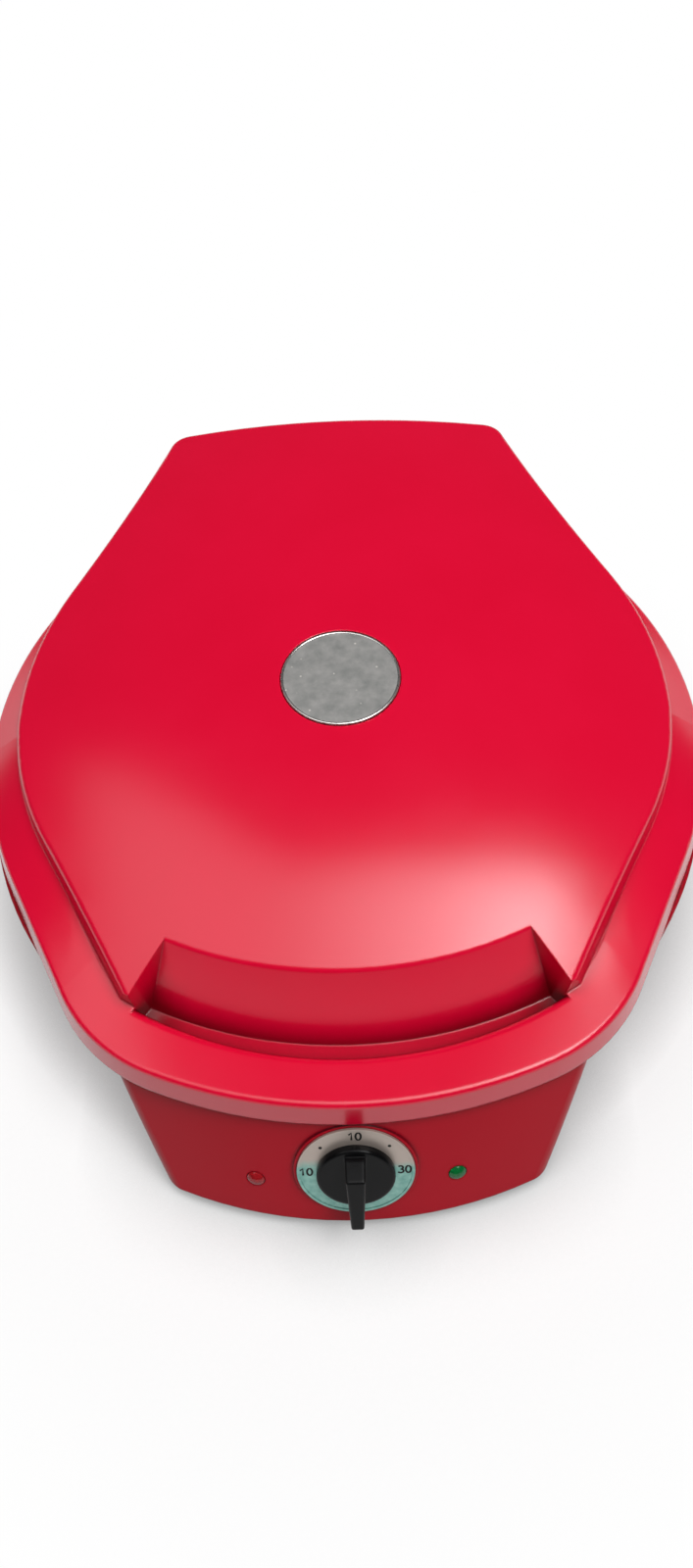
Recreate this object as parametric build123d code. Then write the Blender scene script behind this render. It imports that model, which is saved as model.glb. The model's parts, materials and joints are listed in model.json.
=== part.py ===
from build123d import *
import math
import os

# Countertop pizza maker, closed, in millimetres. +Z is up, the control panel faces -Y, the table is
# z = 0 and the axis of the round plates is x = y = 0 while the pieces are made. At the end everything
# is moved along Y so that the origin lies under the middle of the whole object.

# Driving dimensions of the base.
RIM_R = 170.0            # radius of the round base at its rim
RIM_Z = 60.0             # height of the base's deck
RIM_BAND = 9.0           # straight band under the rim
RIM_EDGE_R = 1.5         # soft edge round the deck
FOOT_R = RIM_R - 21.0    # radius of the base at its lower edge
BASE_Z = 5.0             # lower edge of the housing above the table
BOWL_BULGE = 4.0         # how far the flank bulges past a straight line
WALL = 2.8               # moulded wall
DECK_T = 3.5             # deck thickness round the plate
POD_REACH = 34.5         # how far the control panel's foot stands out past the rim
POD_TILT = 25.0          # lean of the control panel from upright, degrees
POD_HALF_W = 84.5        # half width of the panel at its foot
POD_FLARE = 20.0         # lean of the panel's sides from upright, degrees
POD_CORNER_R = 9.0
LOWER_CHAMFER = 1.0
HEEL_HALF_W = 80.0       # block behind the bowl that carries the hinge
HEEL_Y = RIM_R + 1.5
HEEL_CORNER_R = 10.0

# Driving dimensions of the lid.
PARTING_GAP = 2.5        # lid edge above the deck
LID_R = RIM_R + 1.5      # round part of the lid at its lower edge
LID_ROUND_Y = 7.8        # centre of that round part, behind the plate axis
LID_FRONT_Y = LID_R + 9.5    # front of the lid ahead of the plate axis
LID_FRONT_R = 215.0      # radius of the lid's front edge
LID_SIDE_ANGLE = 63.0    # where the straight sides leave the circle, degrees from the front
LID_CORNER_R = 80.0
SKIRT_H = 14.0
SKIRT_IN = 2.6           # the skirt leans in by this much over its height
SKIRT_TOP_R = 2.5
BRIM_R = LID_R - 21.5    # line where the brim meets the raised panel
BRIM_FRONT_Y = LID_FRONT_Y - 23.0
BRIM_FRONT_R = 180.0
BRIM_CORNER_R = 60.0
BRIM_SIDE_RISE = 15.5    # climb of the brim at the sides of the lid
BRIM_FRONT_RISE = 0.5    # and at its front and back
PANEL_R = LID_R - 18.5   # raised panel, round part
PANEL_ROUND_Y = 15.5     # centre of that round part
PANEL_FLANK = 27.0       # angle at which the round part runs into the hollow flank, degrees
PANEL_BACK_Y = LID_R + 28.5
PANEL_BACK_HALF_W = RIM_R - 80.0
PANEL_CORNER_R = 11.0
PANEL_EDGE_R = 3.0       # soft edge round the panel's top
PANEL_TIP_X = RIM_R - 80.0   # where the panel's side meets the grip bar
PANEL_SPREAD = 4.5       # the panel's walls lean out by this much
PANEL_DRAFT_H = 22.5     # over this height
DOME_Y = 4.0             # highest point of the dome, in line with the badge
DOME_TOP_Z = 120.0
DOME_R = 450.0           # crown across the lid and towards the front
DOME_BACK_R = 1400.0     # flatter crown towards the back
SHELL_T = 2.6

# Driving dimensions of the finger recess and the grip bar.
GRIP_R = 181.0           # inner face of the grip bar
GRIP_Y = GRIP_R - BRIM_FRONT_Y       # centre of that curve
GRIP_FLOOR_Z = 69.0
GRIP_EDGE_R = 3.0        # soft inner edge of the bar
GRIP_WALL_Y = BRIM_FRONT_Y - 8.0     # foot of the sloping wall on the middle line
GRIP_WALL_TOP_Y = GRIP_WALL_Y - 18.5     # top of that wall on the middle line
GRIP_TOP_REF_Z = 98.0
GRIP_END_X = PANEL_TIP_X - 6.0       # lower corner of each end
GRIP_END_Y = GRIP_WALL_Y - 19.0
GRIP_END_TOP_X = GRIP_END_X - 9.0    # upper corner of each end
GRIP_END_TOP_Y = GRIP_END_Y - 18.0
GRIP_FACE_W = 20.0       # the bar's width
GRIP_END_SPLAY = 51.0    # direction of the end faces seen from above, degrees

# Plates and heaters.
FLANGE_R = RIM_R - 18.5
PAN_R = FLANGE_R - 13.5  # mouth of each plate
PAN_DRAFT = 4.0          # the plate's wall runs in by this much
PAN_LOWER_DEPTH = 11.0
PAN_UPPER_DEPTH = 12.5
PLATE_T = 2.5
PLATE_GAP = 0.5          # between the two plates' flanges when closed
REBATE_DEPTH = 1.5
LEDGE_R = FLANGE_R - 7.0     # opening in the deck under the plate's flange
FLANGE_SCREW_R = FLANGE_R - 3.9
FLANGE_SCREW_ANGLES = (45, 135, 215, 325)
FLANGE_SCREW_DEPTH = 1.8
LID_RING_T = 3.5
RING_SCREW_IN = 9.5      # the ring's screws inside the lid's edge
RING_SCREW_ANGLES = (3, 33, 147, 177, 205, 335)
HEATER_R = PAN_R - 50.0
HEATER_TUBE_R = 3.25
HEATER_OPEN = 36.0       # angle left open at the heater's terminals, degrees
HEATER_LEG = 15.0
CLIP_T = 0.8
CLIP_GAP = 0.2
CLIP_W = 9.0
REFLECTOR_R = PAN_R - 7.0
REFLECTOR_T = 0.8
REFLECTOR_DROP = 11.5
REFLECTOR_SIDE_H = 8.0
PLATE_BOSS_R = PAN_R - 26.0
PLATE_BOSS_D = 9.0
BOSS_ANGLES = (30, 150, 270)
RIB_IN_R = HEATER_R + 13.5
RIB_OUT_R = HEATER_R + 16.0
RIB_H = 3.0

# Hinge.
HINGE_Y = RIM_R + 19.0
HINGE_Z = 55.5
PIN_R = 3.0
PIN_HEAD_R = 4.6
PIN_HEAD_T = 1.6
PIN_END = 1.0            # how far the pin's plain end stands out of its ear
RUNNING_GAP = 0.05
KNUCKLE_R = 6.5
EAR_T = 4.0
EAR_IN_X = 48.0
EAR_WEB = 22.0           # drop of the ear's lower edge from the pin to the block
ARM_W = 11.0
ARM_TOP_Z = 84.0
ARM_PLATE_T = 3.5
ARM_REACH = 42.0         # length of the arm's foot ahead of the pin
ARM_SCREW_FRONT = 34.0   # the arm's screws ahead of the pin
ARM_SCREW_REAR = 18.0
SIDE_GAP = 0.5

# Controls.
DIAL_Z = 35.0
DIAL_R = 24.6
DIAL_T = 1.0
DIAL_PAD = 0.6           # flat seat for the dial, proud of the cone
PAD_MARGIN = 1.4
KNOB_R = 16.4
KNOB_T = 3.4
KNOB_BAR_H = 13.0
KNOB_BAR_TOP = 13.0
KNOB_BAR_TIP = 20.0
KNOB_BAR_W = 8.6
KNOB_BAR_TIP_W = 5.4
KNOB_GAP = 0.4           # between the dial and the knob
DIAL_RIM_W = 1.1
DIAL_RIM_H = 0.3
DIAL_BORE_R = 5.2
SHAFT_R = 3.0
SHAFT_FLAT = 0.5         # depth of the flat on the shaft
TIMER_W = 42.0
TIMER_H = 34.0
TIMER_D = 20.0
TIMER_SCREW_X = 17.0
TIMER_BELL_R = 13.0
TIMER_BELL_H = 7.0
LAMP_X = 42.7
LAMP_Z = 25.0
LAMP_R = 3.8
LAMP_SEAT = 1.2          # depth of the lens's seat in the panel
LAMP_STEM_W = 0.45       # the lens's stem is this much narrower than its head
LAMP_DOME_H = 1.6
LAMP_LENGTH = 14.0
BADGE_R = 27.0
BADGE_T = 1.5
BADGE_GAP = 0.4
BADGE_EDGE = 0.5

# Cover, feet, fasteners and the cord's inlet.
COVER_T = 2.5
COVER_GAP = 0.3
COVER_PILOT = 22.0       # depth of the screw holes over the cover
FOOT_PAD_R = 9.0
FOOT_X = 92.0
FOOT_Y = 92.0
FOOT_STEM_R = 3.0
FOOT_EDGE_R = 1.5
VENT_L = 34.0
VENT_W = 3.2
VENT_PITCH = 9.0
VENT_Y = 46.0
SCREW_R = 1.6
SCREW_HEAD_R = 3.0
SCREW_HEAD_H = 2.0
SCREW_SLOT_W = 0.7
SCREW_SLOT_D = 0.9
HEAD_GAP = 0.2           # round a screw's head or shank in a plain hole
BOSS_R = 4.5
BOSS_FRONT = (72.0, 14.0 - RIM_R)
BOSS_REAR = (64.0, HEEL_Y - 19.5)
INLET_X = -48.0
INLET_Z = 22.0
INLET_BORE_R = 3.75
INLET_SLEEVE_R = 6.0
INLET_FLANGE_R = 8.5
INLET_FLANGE_T = 3.0
INLET_OUT = 9.0
INLET_IN = 4.0
INLET_EDGE_R = 1.2
SEAT = 0.02              # clearance of pieces that are pressed or screwed together

# Heights that follow from them.
HALF_SPACE = 4 * RIM_R
LID_Z = RIM_Z + PARTING_GAP
DECK_UNDER_Z = RIM_Z - DECK_T
LOWER_SEAT_Z = RIM_Z - REBATE_DEPTH
LOWER_LIP_Z = LOWER_SEAT_Z + PLATE_T
UPPER_LIP_Z = LOWER_LIP_Z + PLATE_GAP
UPPER_SEAT_Z = UPPER_LIP_Z + PLATE_T
RING_TOP_Z = LID_Z + LID_RING_T
LOWER_BACK_Z = LOWER_LIP_Z - PAN_LOWER_DEPTH - PLATE_T
UPPER_BACK_Z = UPPER_LIP_Z + PAN_UPPER_DEPTH + PLATE_T
SKIRT_TOP_Z = LID_Z + SKIRT_H
BRIM_TILT = (BRIM_SIDE_RISE - BRIM_FRONT_RISE) / BRIM_FRONT_Y
PANEL_FOOT_Z = SKIRT_TOP_Z - 5.0
DOME_CUT_Z = DOME_TOP_Z + 1.0
COVER_Z = BASE_Z + 0.5
COVER_TOP_Z = COVER_Z + COVER_T
COVER_SEAT_Z = COVER_TOP_Z - 1.2
POD_FOOT_R = RIM_R + POD_REACH
POD_LEAN = math.tan(math.radians(POD_TILT))
DIAL_AXIS_R = POD_FOOT_R - POD_LEAN * (DIAL_Z - BASE_Z)
LAMP_AXIS_R = POD_FOOT_R - POD_LEAN * (LAMP_Z - BASE_Z)
EAR_OUT_X = EAR_IN_X + EAR_T + ARM_W
ARM_MID_X = EAR_IN_X + EAR_T + ARM_W / 2
TIMER_FACE = -WALL - 1.6
KNOB_LOW = DIAL_PAD + DIAL_T + KNOB_GAP


def ray(radius, degrees):
    return (radius * math.cos(math.radians(degrees)), radius * math.sin(math.radians(degrees)))


def ring(radius, bore, low, high):
    return Pos(0, 0, low) * extrude(Circle(radius) - Circle(bore), high - low)


def drum(radius, low, high, x=0.0, y=0.0):
    return Pos(x, y, low) * extrude(Circle(radius), high - low)


def slab(low, high):
    return Pos(0, 0, low) * extrude(Rectangle(HALF_SPACE, HALF_SPACE), high - low)


def level_edges(shape, z):
    boxes = [(edge, edge.bounding_box()) for edge in shape.edges()]
    return [edge for edge, box in boxes if abs(box.min.Z - z) < 0.01 and abs(box.max.Z - z) < 0.01]


def around_z(shape, angles):
    return [Rot(0, 0, angle) * shape for angle in angles]


def both_sides(shape):
    return [shape, mirror(shape, about=Plane.YZ)]


def turned(points):
    return revolve(Plane.XZ * make_face(Polyline(*points, close=True)), Axis.Z)


# The round base, its control panel and the hinge block, as one outer form or an inset of it.
def bowl_form(inset):
    foot = (FOOT_R - inset, BASE_Z + LOWER_CHAMFER)
    shoulder = (RIM_R - inset, RIM_Z - RIM_BAND)
    middle = ((foot[0] + shoulder[0]) / 2 + BOWL_BULGE, (foot[1] + shoulder[1]) / 2 - BOWL_BULGE / 2)
    flank = ThreePointArc(foot, middle, shoulder)
    edge = (foot[0] - LOWER_CHAMFER, BASE_Z)
    rest = Polyline(shoulder, (RIM_R - inset, RIM_Z), (0, RIM_Z), (0, BASE_Z), edge, foot)
    return revolve(Plane.XZ * make_face(flank + rest), Axis.Z)


def pod_form(inset, corner):
    lean_inset = inset / math.cos(math.radians(POD_TILT))
    foot_r = POD_FOOT_R - lean_inset
    top_r = foot_r - POD_LEAN * (RIM_Z - BASE_Z)
    cone = turned([(0, BASE_Z), (foot_r, BASE_Z), (top_r, RIM_Z), (0, RIM_Z)])
    low_w = POD_HALF_W - inset
    high_w = low_w + (RIM_Z - BASE_Z) * math.tan(math.radians(POD_FLARE))
    front = [(-low_w, BASE_Z), (low_w, BASE_Z), (high_w, RIM_Z), (-high_w, RIM_Z)]
    prism = extrude(Plane.XZ * make_face(Polyline(*front, close=True)), POD_FOOT_R + 20)
    pod = cone & prism
    outer = [e for e in pod.edges() if abs(e.center().X) > POD_HALF_W / 2 and e.center().Y < -FOOT_R / 2]
    upright = [e for e in outer if e.bounding_box().size.Z > (RIM_Z - BASE_Z) / 2]
    pod = fillet(upright, corner)
    return chamfer([e for e in pod.edges() if e.bounding_box().max.Z < BASE_Z + 0.01], LOWER_CHAMFER)


def heel_form(inset, corner):
    half_w = HEEL_HALF_W - inset
    back = HEEL_Y - inset
    plan = Pos(0, back / 2) * Rectangle(2 * half_w, back)
    plan = fillet([v for v in plan.vertices() if v.Y > back - 1], corner)
    return Pos(0, 0, BASE_Z) * extrude(plan, RIM_Z - BASE_Z)


def base_form(inset):
    shrink = inset * 0.8
    heel = heel_form(inset, HEEL_CORNER_R - shrink)
    return bowl_form(inset) + pod_form(inset, POD_CORNER_R - shrink) + heel


# Frames on the control panel: +Z points out of the panel and +Y up along it.
def panel_frame(x, radius, z):
    bearing = math.asin(x / radius)
    lean = math.radians(POD_TILT)
    out = (math.sin(bearing) * math.cos(lean), -math.cos(bearing) * math.cos(lean), math.sin(lean))
    along = (math.cos(bearing), math.sin(bearing), 0)
    return Plane((x, -radius * math.cos(bearing), z), x_dir=along, z_dir=out)


DIAL = panel_frame(0.0, DIAL_AXIS_R, DIAL_Z)
POWER_LAMP = panel_frame(-LAMP_X, LAMP_AXIS_R, LAMP_Z)
READY_LAMP = panel_frame(LAMP_X, LAMP_AXIS_R, LAMP_Z)


def dial_drum(radius, low, high, x=0.0, y=0.0):
    return DIAL * drum(radius, low, high, x, y)


def hinge_ear():
    reach = HEEL_Y - WALL
    lug = Plane.YZ * (Pos(HINGE_Y, HINGE_Z) * Circle(KNUCKLE_R))
    web = [
        (reach, HINGE_Z - EAR_WEB),
        (HINGE_Y + KNUCKLE_R * 0.6, HINGE_Z - KNUCKLE_R * 0.8),
        (HINGE_Y, HINGE_Z + KNUCKLE_R),
        (reach, HINGE_Z + 1),
    ]
    side = lug + Plane.YZ * make_face(Polyline(*web, close=True))
    ear = extrude(side, EAR_T, dir=(1, 0, 0))
    return [Pos(EAR_IN_X, 0, 0) * ear, Pos(EAR_OUT_X, 0, 0) * ear]


def hinge_bore(radius):
    bar = Plane.YZ * (Pos(HINGE_Y, HINGE_Z) * Circle(radius))
    length = 2 * EAR_T + ARM_W
    return Pos(EAR_IN_X - length / 2, 0, 0) * extrude(bar, 2 * length, dir=(1, 0, 0))


def base_housing():
    outer = base_form(0.0)
    outer = fillet(level_edges(outer, RIM_Z), RIM_EDGE_R)
    room = base_form(WALL) & slab(BASE_Z - 1, DECK_UNDER_Z)
    bosses = []
    for x, y in (BOSS_FRONT, BOSS_REAR):
        bosses += both_sides(drum(BOSS_R, COVER_TOP_Z, DECK_UNDER_Z + 1, x, y))
    for x in (-TIMER_SCREW_X, TIMER_SCREW_X):
        bosses.append(dial_drum(BOSS_R, TIMER_FACE, -1, x, 0))
    ears = []
    for ear in hinge_ear():
        ears += both_sides(ear)
    body = outer - room + bosses + ears
    pad_r = DIAL_R + PAD_MARGIN
    body += dial_drum(pad_r, -WALL, DIAL_PAD)
    body -= dial_drum(pad_r, DIAL_PAD, RIM_R)
    body -= drum(LEDGE_R, 0, RIM_Z + 1)
    body -= drum(FLANGE_R + 0.5, LOWER_SEAT_Z, RIM_Z + 1)
    body -= dial_drum(DIAL_BORE_R, -TIMER_D, KNOB_T)
    for x in (-TIMER_SCREW_X, TIMER_SCREW_X):
        body -= dial_drum(SCREW_R + SEAT, -TIMER_D, KNOB_T, x, 0)
        body -= dial_drum(SCREW_HEAD_R + HEAD_GAP / 2, DIAL_PAD - SCREW_HEAD_H - SEAT, KNOB_T, x, 0)
    for frame in (POWER_LAMP, READY_LAMP):
        body -= frame * drum(LAMP_R - 0.4, -LAMP_LENGTH, KNOB_T)
        body -= frame * drum(LAMP_R + HEAD_GAP, -LAMP_SEAT, KNOB_T)
    for x, y in (BOSS_FRONT, BOSS_REAR):
        pilot = drum(SCREW_R + SEAT, COVER_TOP_Z - 1, COVER_TOP_Z + COVER_PILOT, x, y)
        for hole in both_sides(pilot):
            body -= hole
    for bore in both_sides(hinge_bore(PIN_R + SEAT)):
        body -= bore
    body -= inlet_axis(INLET_SLEEVE_R + SEAT, HEEL_Y - 3 * WALL, HEEL_Y + INLET_OUT)
    for screw in flange_screw_places():
        body -= screw * drum(SCREW_R + SEAT, DECK_UNDER_Z - DECK_T, RIM_Z)
    return body


def inlet_axis(radius, low_y, high_y):
    disc = Plane.XZ * (Pos(INLET_X, INLET_Z) * Circle(radius))
    return Pos(0, high_y, 0) * extrude(disc, high_y - low_y)


# Rubber bush that lines the cord's inlet: an outer flange with a short nose, a groove over the wall
# and an inner lip.
def cord_bush():
    wall_in = HEEL_Y - WALL
    bush = inlet_axis(INLET_SLEEVE_R, wall_in - INLET_IN, HEEL_Y + INLET_OUT)
    bush += inlet_axis(INLET_FLANGE_R, HEEL_Y, HEEL_Y + INLET_FLANGE_T)
    bush += inlet_axis(INLET_FLANGE_R - 1, wall_in - INLET_FLANGE_T, wall_in)
    nose = [e for e in bush.edges() if e.center().Y > HEEL_Y + INLET_OUT - 0.1]
    bush = fillet(nose, INLET_EDGE_R)
    return bush - inlet_axis(INLET_BORE_R, wall_in - INLET_IN - 1, HEEL_Y + INLET_OUT + 1)


def screw(head_r, head_h, length):
    # Head's underside at z = 0, shank down, a cross recess in the head.
    body = drum(head_r, 0, head_h) + drum(SCREW_R, -length, 0)
    cross = Rectangle(head_r * 1.2, SCREW_SLOT_W) + Rectangle(SCREW_SLOT_W, head_r * 1.2)
    return body - Pos(0, 0, head_h - SCREW_SLOT_D) * extrude(cross, 2 * SCREW_SLOT_D)


def bottom_cover():
    plate = base_form(WALL + COVER_GAP) & slab(COVER_Z, COVER_TOP_Z)
    vent = Pos(0, 0, COVER_Z - 1) * extrude(SlotOverall(VENT_L, VENT_W), COVER_T + 2)
    for middle in (-VENT_Y, VENT_Y):
        plate -= [Pos(0, middle + VENT_PITCH * row, 0) * vent for row in range(-4, 5)]
    for x, y in (BOSS_FRONT, BOSS_REAR):
        for side in both_sides(drum(SCREW_R + HEAD_GAP, 0, COVER_TOP_Z + 1, x, y)):
            plate -= side
        for side in both_sides(drum(SCREW_HEAD_R + 0.5, 0, COVER_SEAT_Z, x, y)):
            plate -= side
    for x in (-FOOT_X, FOOT_X):
        for y in (-FOOT_Y, FOOT_Y):
            plate -= drum(FOOT_STEM_R, 0, COVER_TOP_Z + 1, x, y)
    return plate


def cover_screws():
    # Head up in its counterbore from below.
    down = Rot(180, 0, 0) * screw(SCREW_HEAD_R, SCREW_HEAD_H - 0.3, COVER_PILOT - 2)
    places = []
    for x, y in (BOSS_FRONT, BOSS_REAR):
        places += [(x, y), (-x, y)]
    return Compound([Pos(x, y, COVER_SEAT_Z) * down for x, y in places])


def foot(x, y):
    pad = drum(FOOT_PAD_R, 0, COVER_Z)
    rim = [e for e in pad.edges() if e.center().Z < 0.1]
    pad = fillet(rim, FOOT_EDGE_R)
    pad += drum(FOOT_STEM_R - SEAT, COVER_Z, COVER_TOP_Z)
    pad += drum(FOOT_STEM_R + 1.2, COVER_TOP_Z, COVER_TOP_Z + 1.5)
    return Pos(x, y, 0) * pad


# Plates: a flange, a drafted wall and a flat cooking face, with three bosses on the back.
def plate(lip_z, up, depth):
    # up is 1 for the lid's plate, whose back is above, and -1 for the base's.
    back = depth + PLATE_T
    inner = PAN_R - PAN_DRAFT
    outline = [
        (0, lip_z + up * depth),
        (inner, lip_z + up * depth),
        (PAN_R, lip_z),
        (FLANGE_R, lip_z),
        (FLANGE_R, lip_z + up * PLATE_T),
        (PAN_R + PLATE_T, lip_z + up * PLATE_T),
        (inner + PLATE_T, lip_z + up * back),
        (0, lip_z + up * back),
    ]
    body = turned(outline)
    back_z = lip_z + up * back
    boss_end = back_z + up * REFLECTOR_DROP
    low, high = sorted((back_z - up * 0.5, boss_end))
    bosses = around_z(drum(PLATE_BOSS_D / 2, low, high, PLATE_BOSS_R, 0), BOSS_ANGLES)
    rib = ring(RIB_OUT_R, RIB_IN_R, *sorted((back_z - up * 0.5, back_z + up * RIB_H)))
    body = body + bosses + rib
    hole_low, hole_high = sorted((boss_end, boss_end - up * PLATE_BOSS_D))
    hole = drum(SCREW_R + SEAT, hole_low, hole_high, PLATE_BOSS_R, 0)
    return body - around_z(hole, BOSS_ANGLES)


def flange_screw_places():
    return [Rot(0, 0, a) * Pos(FLANGE_SCREW_R, 0, 0) for a in FLANGE_SCREW_ANGLES]


def lower_plate():
    body = plate(LOWER_LIP_Z, -1, PAN_LOWER_DEPTH)
    for place in flange_screw_places():
        body -= place * drum(SCREW_R + SEAT, LOWER_SEAT_Z - 1, LOWER_SEAT_Z + FLANGE_SCREW_DEPTH)
    return body


def upper_plate():
    body = plate(UPPER_LIP_Z, 1, PAN_UPPER_DEPTH)
    for place in flange_screw_places():
        body -= place * drum(SCREW_R + SEAT, UPPER_SEAT_Z - FLANGE_SCREW_DEPTH, UPPER_SEAT_Z + 1)
    return body


def lower_plate_screws():
    under = Rot(180, 0, 0) * screw(SCREW_HEAD_R - 0.4, SCREW_HEAD_H, LOWER_SEAT_Z - DECK_UNDER_Z + 1.7)
    return Compound([p * Pos(0, 0, DECK_UNDER_Z) * under for p in flange_screw_places()])


def upper_plate_screws():
    over = screw(SCREW_HEAD_R - 0.4, SCREW_HEAD_H, RING_TOP_Z - UPPER_SEAT_Z + 1.7)
    return Compound([p * Pos(0, 0, RING_TOP_Z) * over for p in flange_screw_places()])


def heater(axis_z, up):
    section = Plane.XZ * (Pos(HEATER_R, axis_z) * Circle(HEATER_TUBE_R))
    sweep_angle = 360 - HEATER_OPEN
    tube = Rot(0, 0, 90 + HEATER_OPEN / 2) * revolve(section, Axis.Z, sweep_angle)
    for angle in (90 + HEATER_OPEN / 2, 90 - HEATER_OPEN / 2):
        x, y = ray(HEATER_R, angle)
        low, high = sorted((axis_z, axis_z + up * HEATER_LEG))
        tube += drum(HEATER_TUBE_R, low, high, x, y)
        tube += Pos(x, y, axis_z) * Sphere(HEATER_TUBE_R)
        tip_low, tip_high = sorted((axis_z + up * HEATER_LEG, axis_z + up * (HEATER_LEG + 6)))
        tube += drum(1.2, tip_low, tip_high, x, y)
    return tube


# Saddle clips that hold the heater against the plate's back.
def heater_clips(back_z, up):
    inner = HEATER_TUBE_R + CLIP_GAP
    outer = inner + CLIP_T
    axis = up * (HEATER_TUBE_R + 0.1)
    arch = Circle(outer) - Circle(inner)
    arch = arch - Pos(0, -up * 20) * Rectangle(40, 40)
    legs = [Pos(s * (inner + CLIP_T / 2), -axis / 2) * Rectangle(CLIP_T, abs(axis)) for s in (-1, 1)]
    tabs = [Pos(s * (inner + 3.5), -axis + up * CLIP_T / 2) * Rectangle(7, CLIP_T) for s in (-1, 1)]
    side = arch + legs + tabs
    strap = extrude(Plane.XZ * (Pos(HEATER_R, back_z + axis) * side), CLIP_W / 2, both=True)
    return Compound(around_z(strap, (210, 330, 0)))


def reflector(back_z, up):
    # A shallow steel pan behind the heater, open towards the plate.
    floor = back_z + up * REFLECTOR_DROP
    outline = [
        (0, floor),
        (REFLECTOR_R - 6, floor),
        (REFLECTOR_R, floor - up * REFLECTOR_SIDE_H),
        (REFLECTOR_R + REFLECTOR_T, floor - up * REFLECTOR_SIDE_H),
        (REFLECTOR_R - 5.5, floor + up * REFLECTOR_T),
        (0, floor + up * REFLECTOR_T),
    ]
    pan = turned(outline)
    low, high = sorted((floor - up, floor + up * 2))
    for hole in around_z(drum(SCREW_R + 0.1, low, high, PLATE_BOSS_R, 0), BOSS_ANGLES):
        pan -= hole
    for angle in (90 + HEATER_OPEN / 2, 90 - HEATER_OPEN / 2):
        x, y = ray(HEATER_R, angle)
        pan -= drum(HEATER_TUBE_R + 1, low, high, x, y)
    return pan


def reflector_screws(back_z, up):
    seat = back_z + up * (REFLECTOR_DROP + REFLECTOR_T)
    one = screw(SCREW_HEAD_R, SCREW_HEAD_H, 8)
    if up < 0:
        one = Rot(180, 0, 0) * one
    return Compound(around_z(Pos(PLATE_BOSS_R, 0, seat) * one, BOSS_ANGLES))


# A circle that runs into straight sides and a flatter, rounded front.
def lobe(radius, front_y, front_r, corner_r):
    leave = -90 + LID_SIDE_ANGLE
    start_x, start_y = ray(radius, leave)
    start = (start_x, LID_ROUND_Y + start_y)
    slope = (-math.sin(math.radians(leave)), math.cos(math.radians(leave)))
    centre_y = front_r - front_y
    # The side line meets the front arc at this distance from where it leaves the circle.
    b = -slope[0] * start[0] - slope[1] * (start[1] - centre_y)
    c = start[0] ** 2 + (start[1] - centre_y) ** 2 - front_r ** 2
    reach = -b + math.sqrt(b * b - c)
    corner = (start[0] - slope[0] * reach, start[1] - slope[1] * reach)
    back = ThreePointArc(start, (0, LID_ROUND_Y + radius), (-start[0], start[1]))
    right = Line(start, corner)
    left = Line((-start[0], start[1]), (-corner[0], corner[1]))
    front = ThreePointArc(corner, (0, centre_y - front_r), (-corner[0], corner[1]))
    face = make_face(back + right + left + front)
    tips = [v for v in face.vertices() if abs(v.Y - corner[1]) < 0.5]
    return fillet(tips, corner_r)


def lid_outline(grow):
    return lobe(LID_R + grow, LID_FRONT_Y + grow, LID_FRONT_R + grow, LID_CORNER_R + grow)


def brim_line(grow):
    return lobe(BRIM_R + grow, BRIM_FRONT_Y + grow, BRIM_FRONT_R + grow, BRIM_CORNER_R + grow)


# The raised panel's outline: a circle, hollow flanks to a narrower back, straight sides to the grip.
def panel_outline(grow):
    radius = PANEL_R + grow
    flank_x, flank_y = ray(radius, PANEL_FLANK)
    flank = (flank_x, PANEL_ROUND_Y + flank_y)
    corner = (PANEL_BACK_HALF_W + grow, PANEL_BACK_Y + grow)
    leave = (-math.sin(math.radians(PANEL_FLANK)), math.cos(math.radians(PANEL_FLANK)))
    tip_y = GRIP_Y - math.sqrt(GRIP_R ** 2 - PANEL_TIP_X ** 2)
    reach = math.hypot(PANEL_TIP_X, tip_y - PANEL_ROUND_Y)
    bearing = math.degrees(math.atan2(tip_y - PANEL_ROUND_Y, PANEL_TIP_X))
    touch_angle = bearing + math.degrees(math.acos(PANEL_R / reach))
    touch_x, touch_y = ray(radius, touch_angle)
    touch = (touch_x, PANEL_ROUND_Y + touch_y)
    # The side line, moved out by grow, ends on the grip bar's inner circle.
    run = (math.sin(math.radians(touch_angle)), -math.cos(math.radians(touch_angle)))
    b = touch[0] * run[0] + (touch[1] - GRIP_Y) * run[1]
    c = touch[0] ** 2 + (touch[1] - GRIP_Y) ** 2 - GRIP_R ** 2
    length = -b + math.sqrt(b * b - c)
    tip = (touch[0] + run[0] * length, touch[1] + run[1] * length)
    half_x, half_y = ray(radius, (PANEL_FLANK + touch_angle) / 2)
    round_part = ThreePointArc(flank, (half_x, PANEL_ROUND_Y + half_y), touch)
    right = TangentArc(flank, corner, tangent=leave) + round_part + Line(touch, tip)
    left = mirror(right, about=Plane.YZ)
    back = Line(corner, (-corner[0], corner[1]))
    front = ThreePointArc(tip, (0, GRIP_Y - GRIP_R), (-tip[0], tip[1]))
    face = make_face(right + left + back + front)
    corners = [v for v in face.vertices() if v.Y > corner[1] - 1]
    return fillet(corners, PANEL_CORNER_R + grow)


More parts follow.
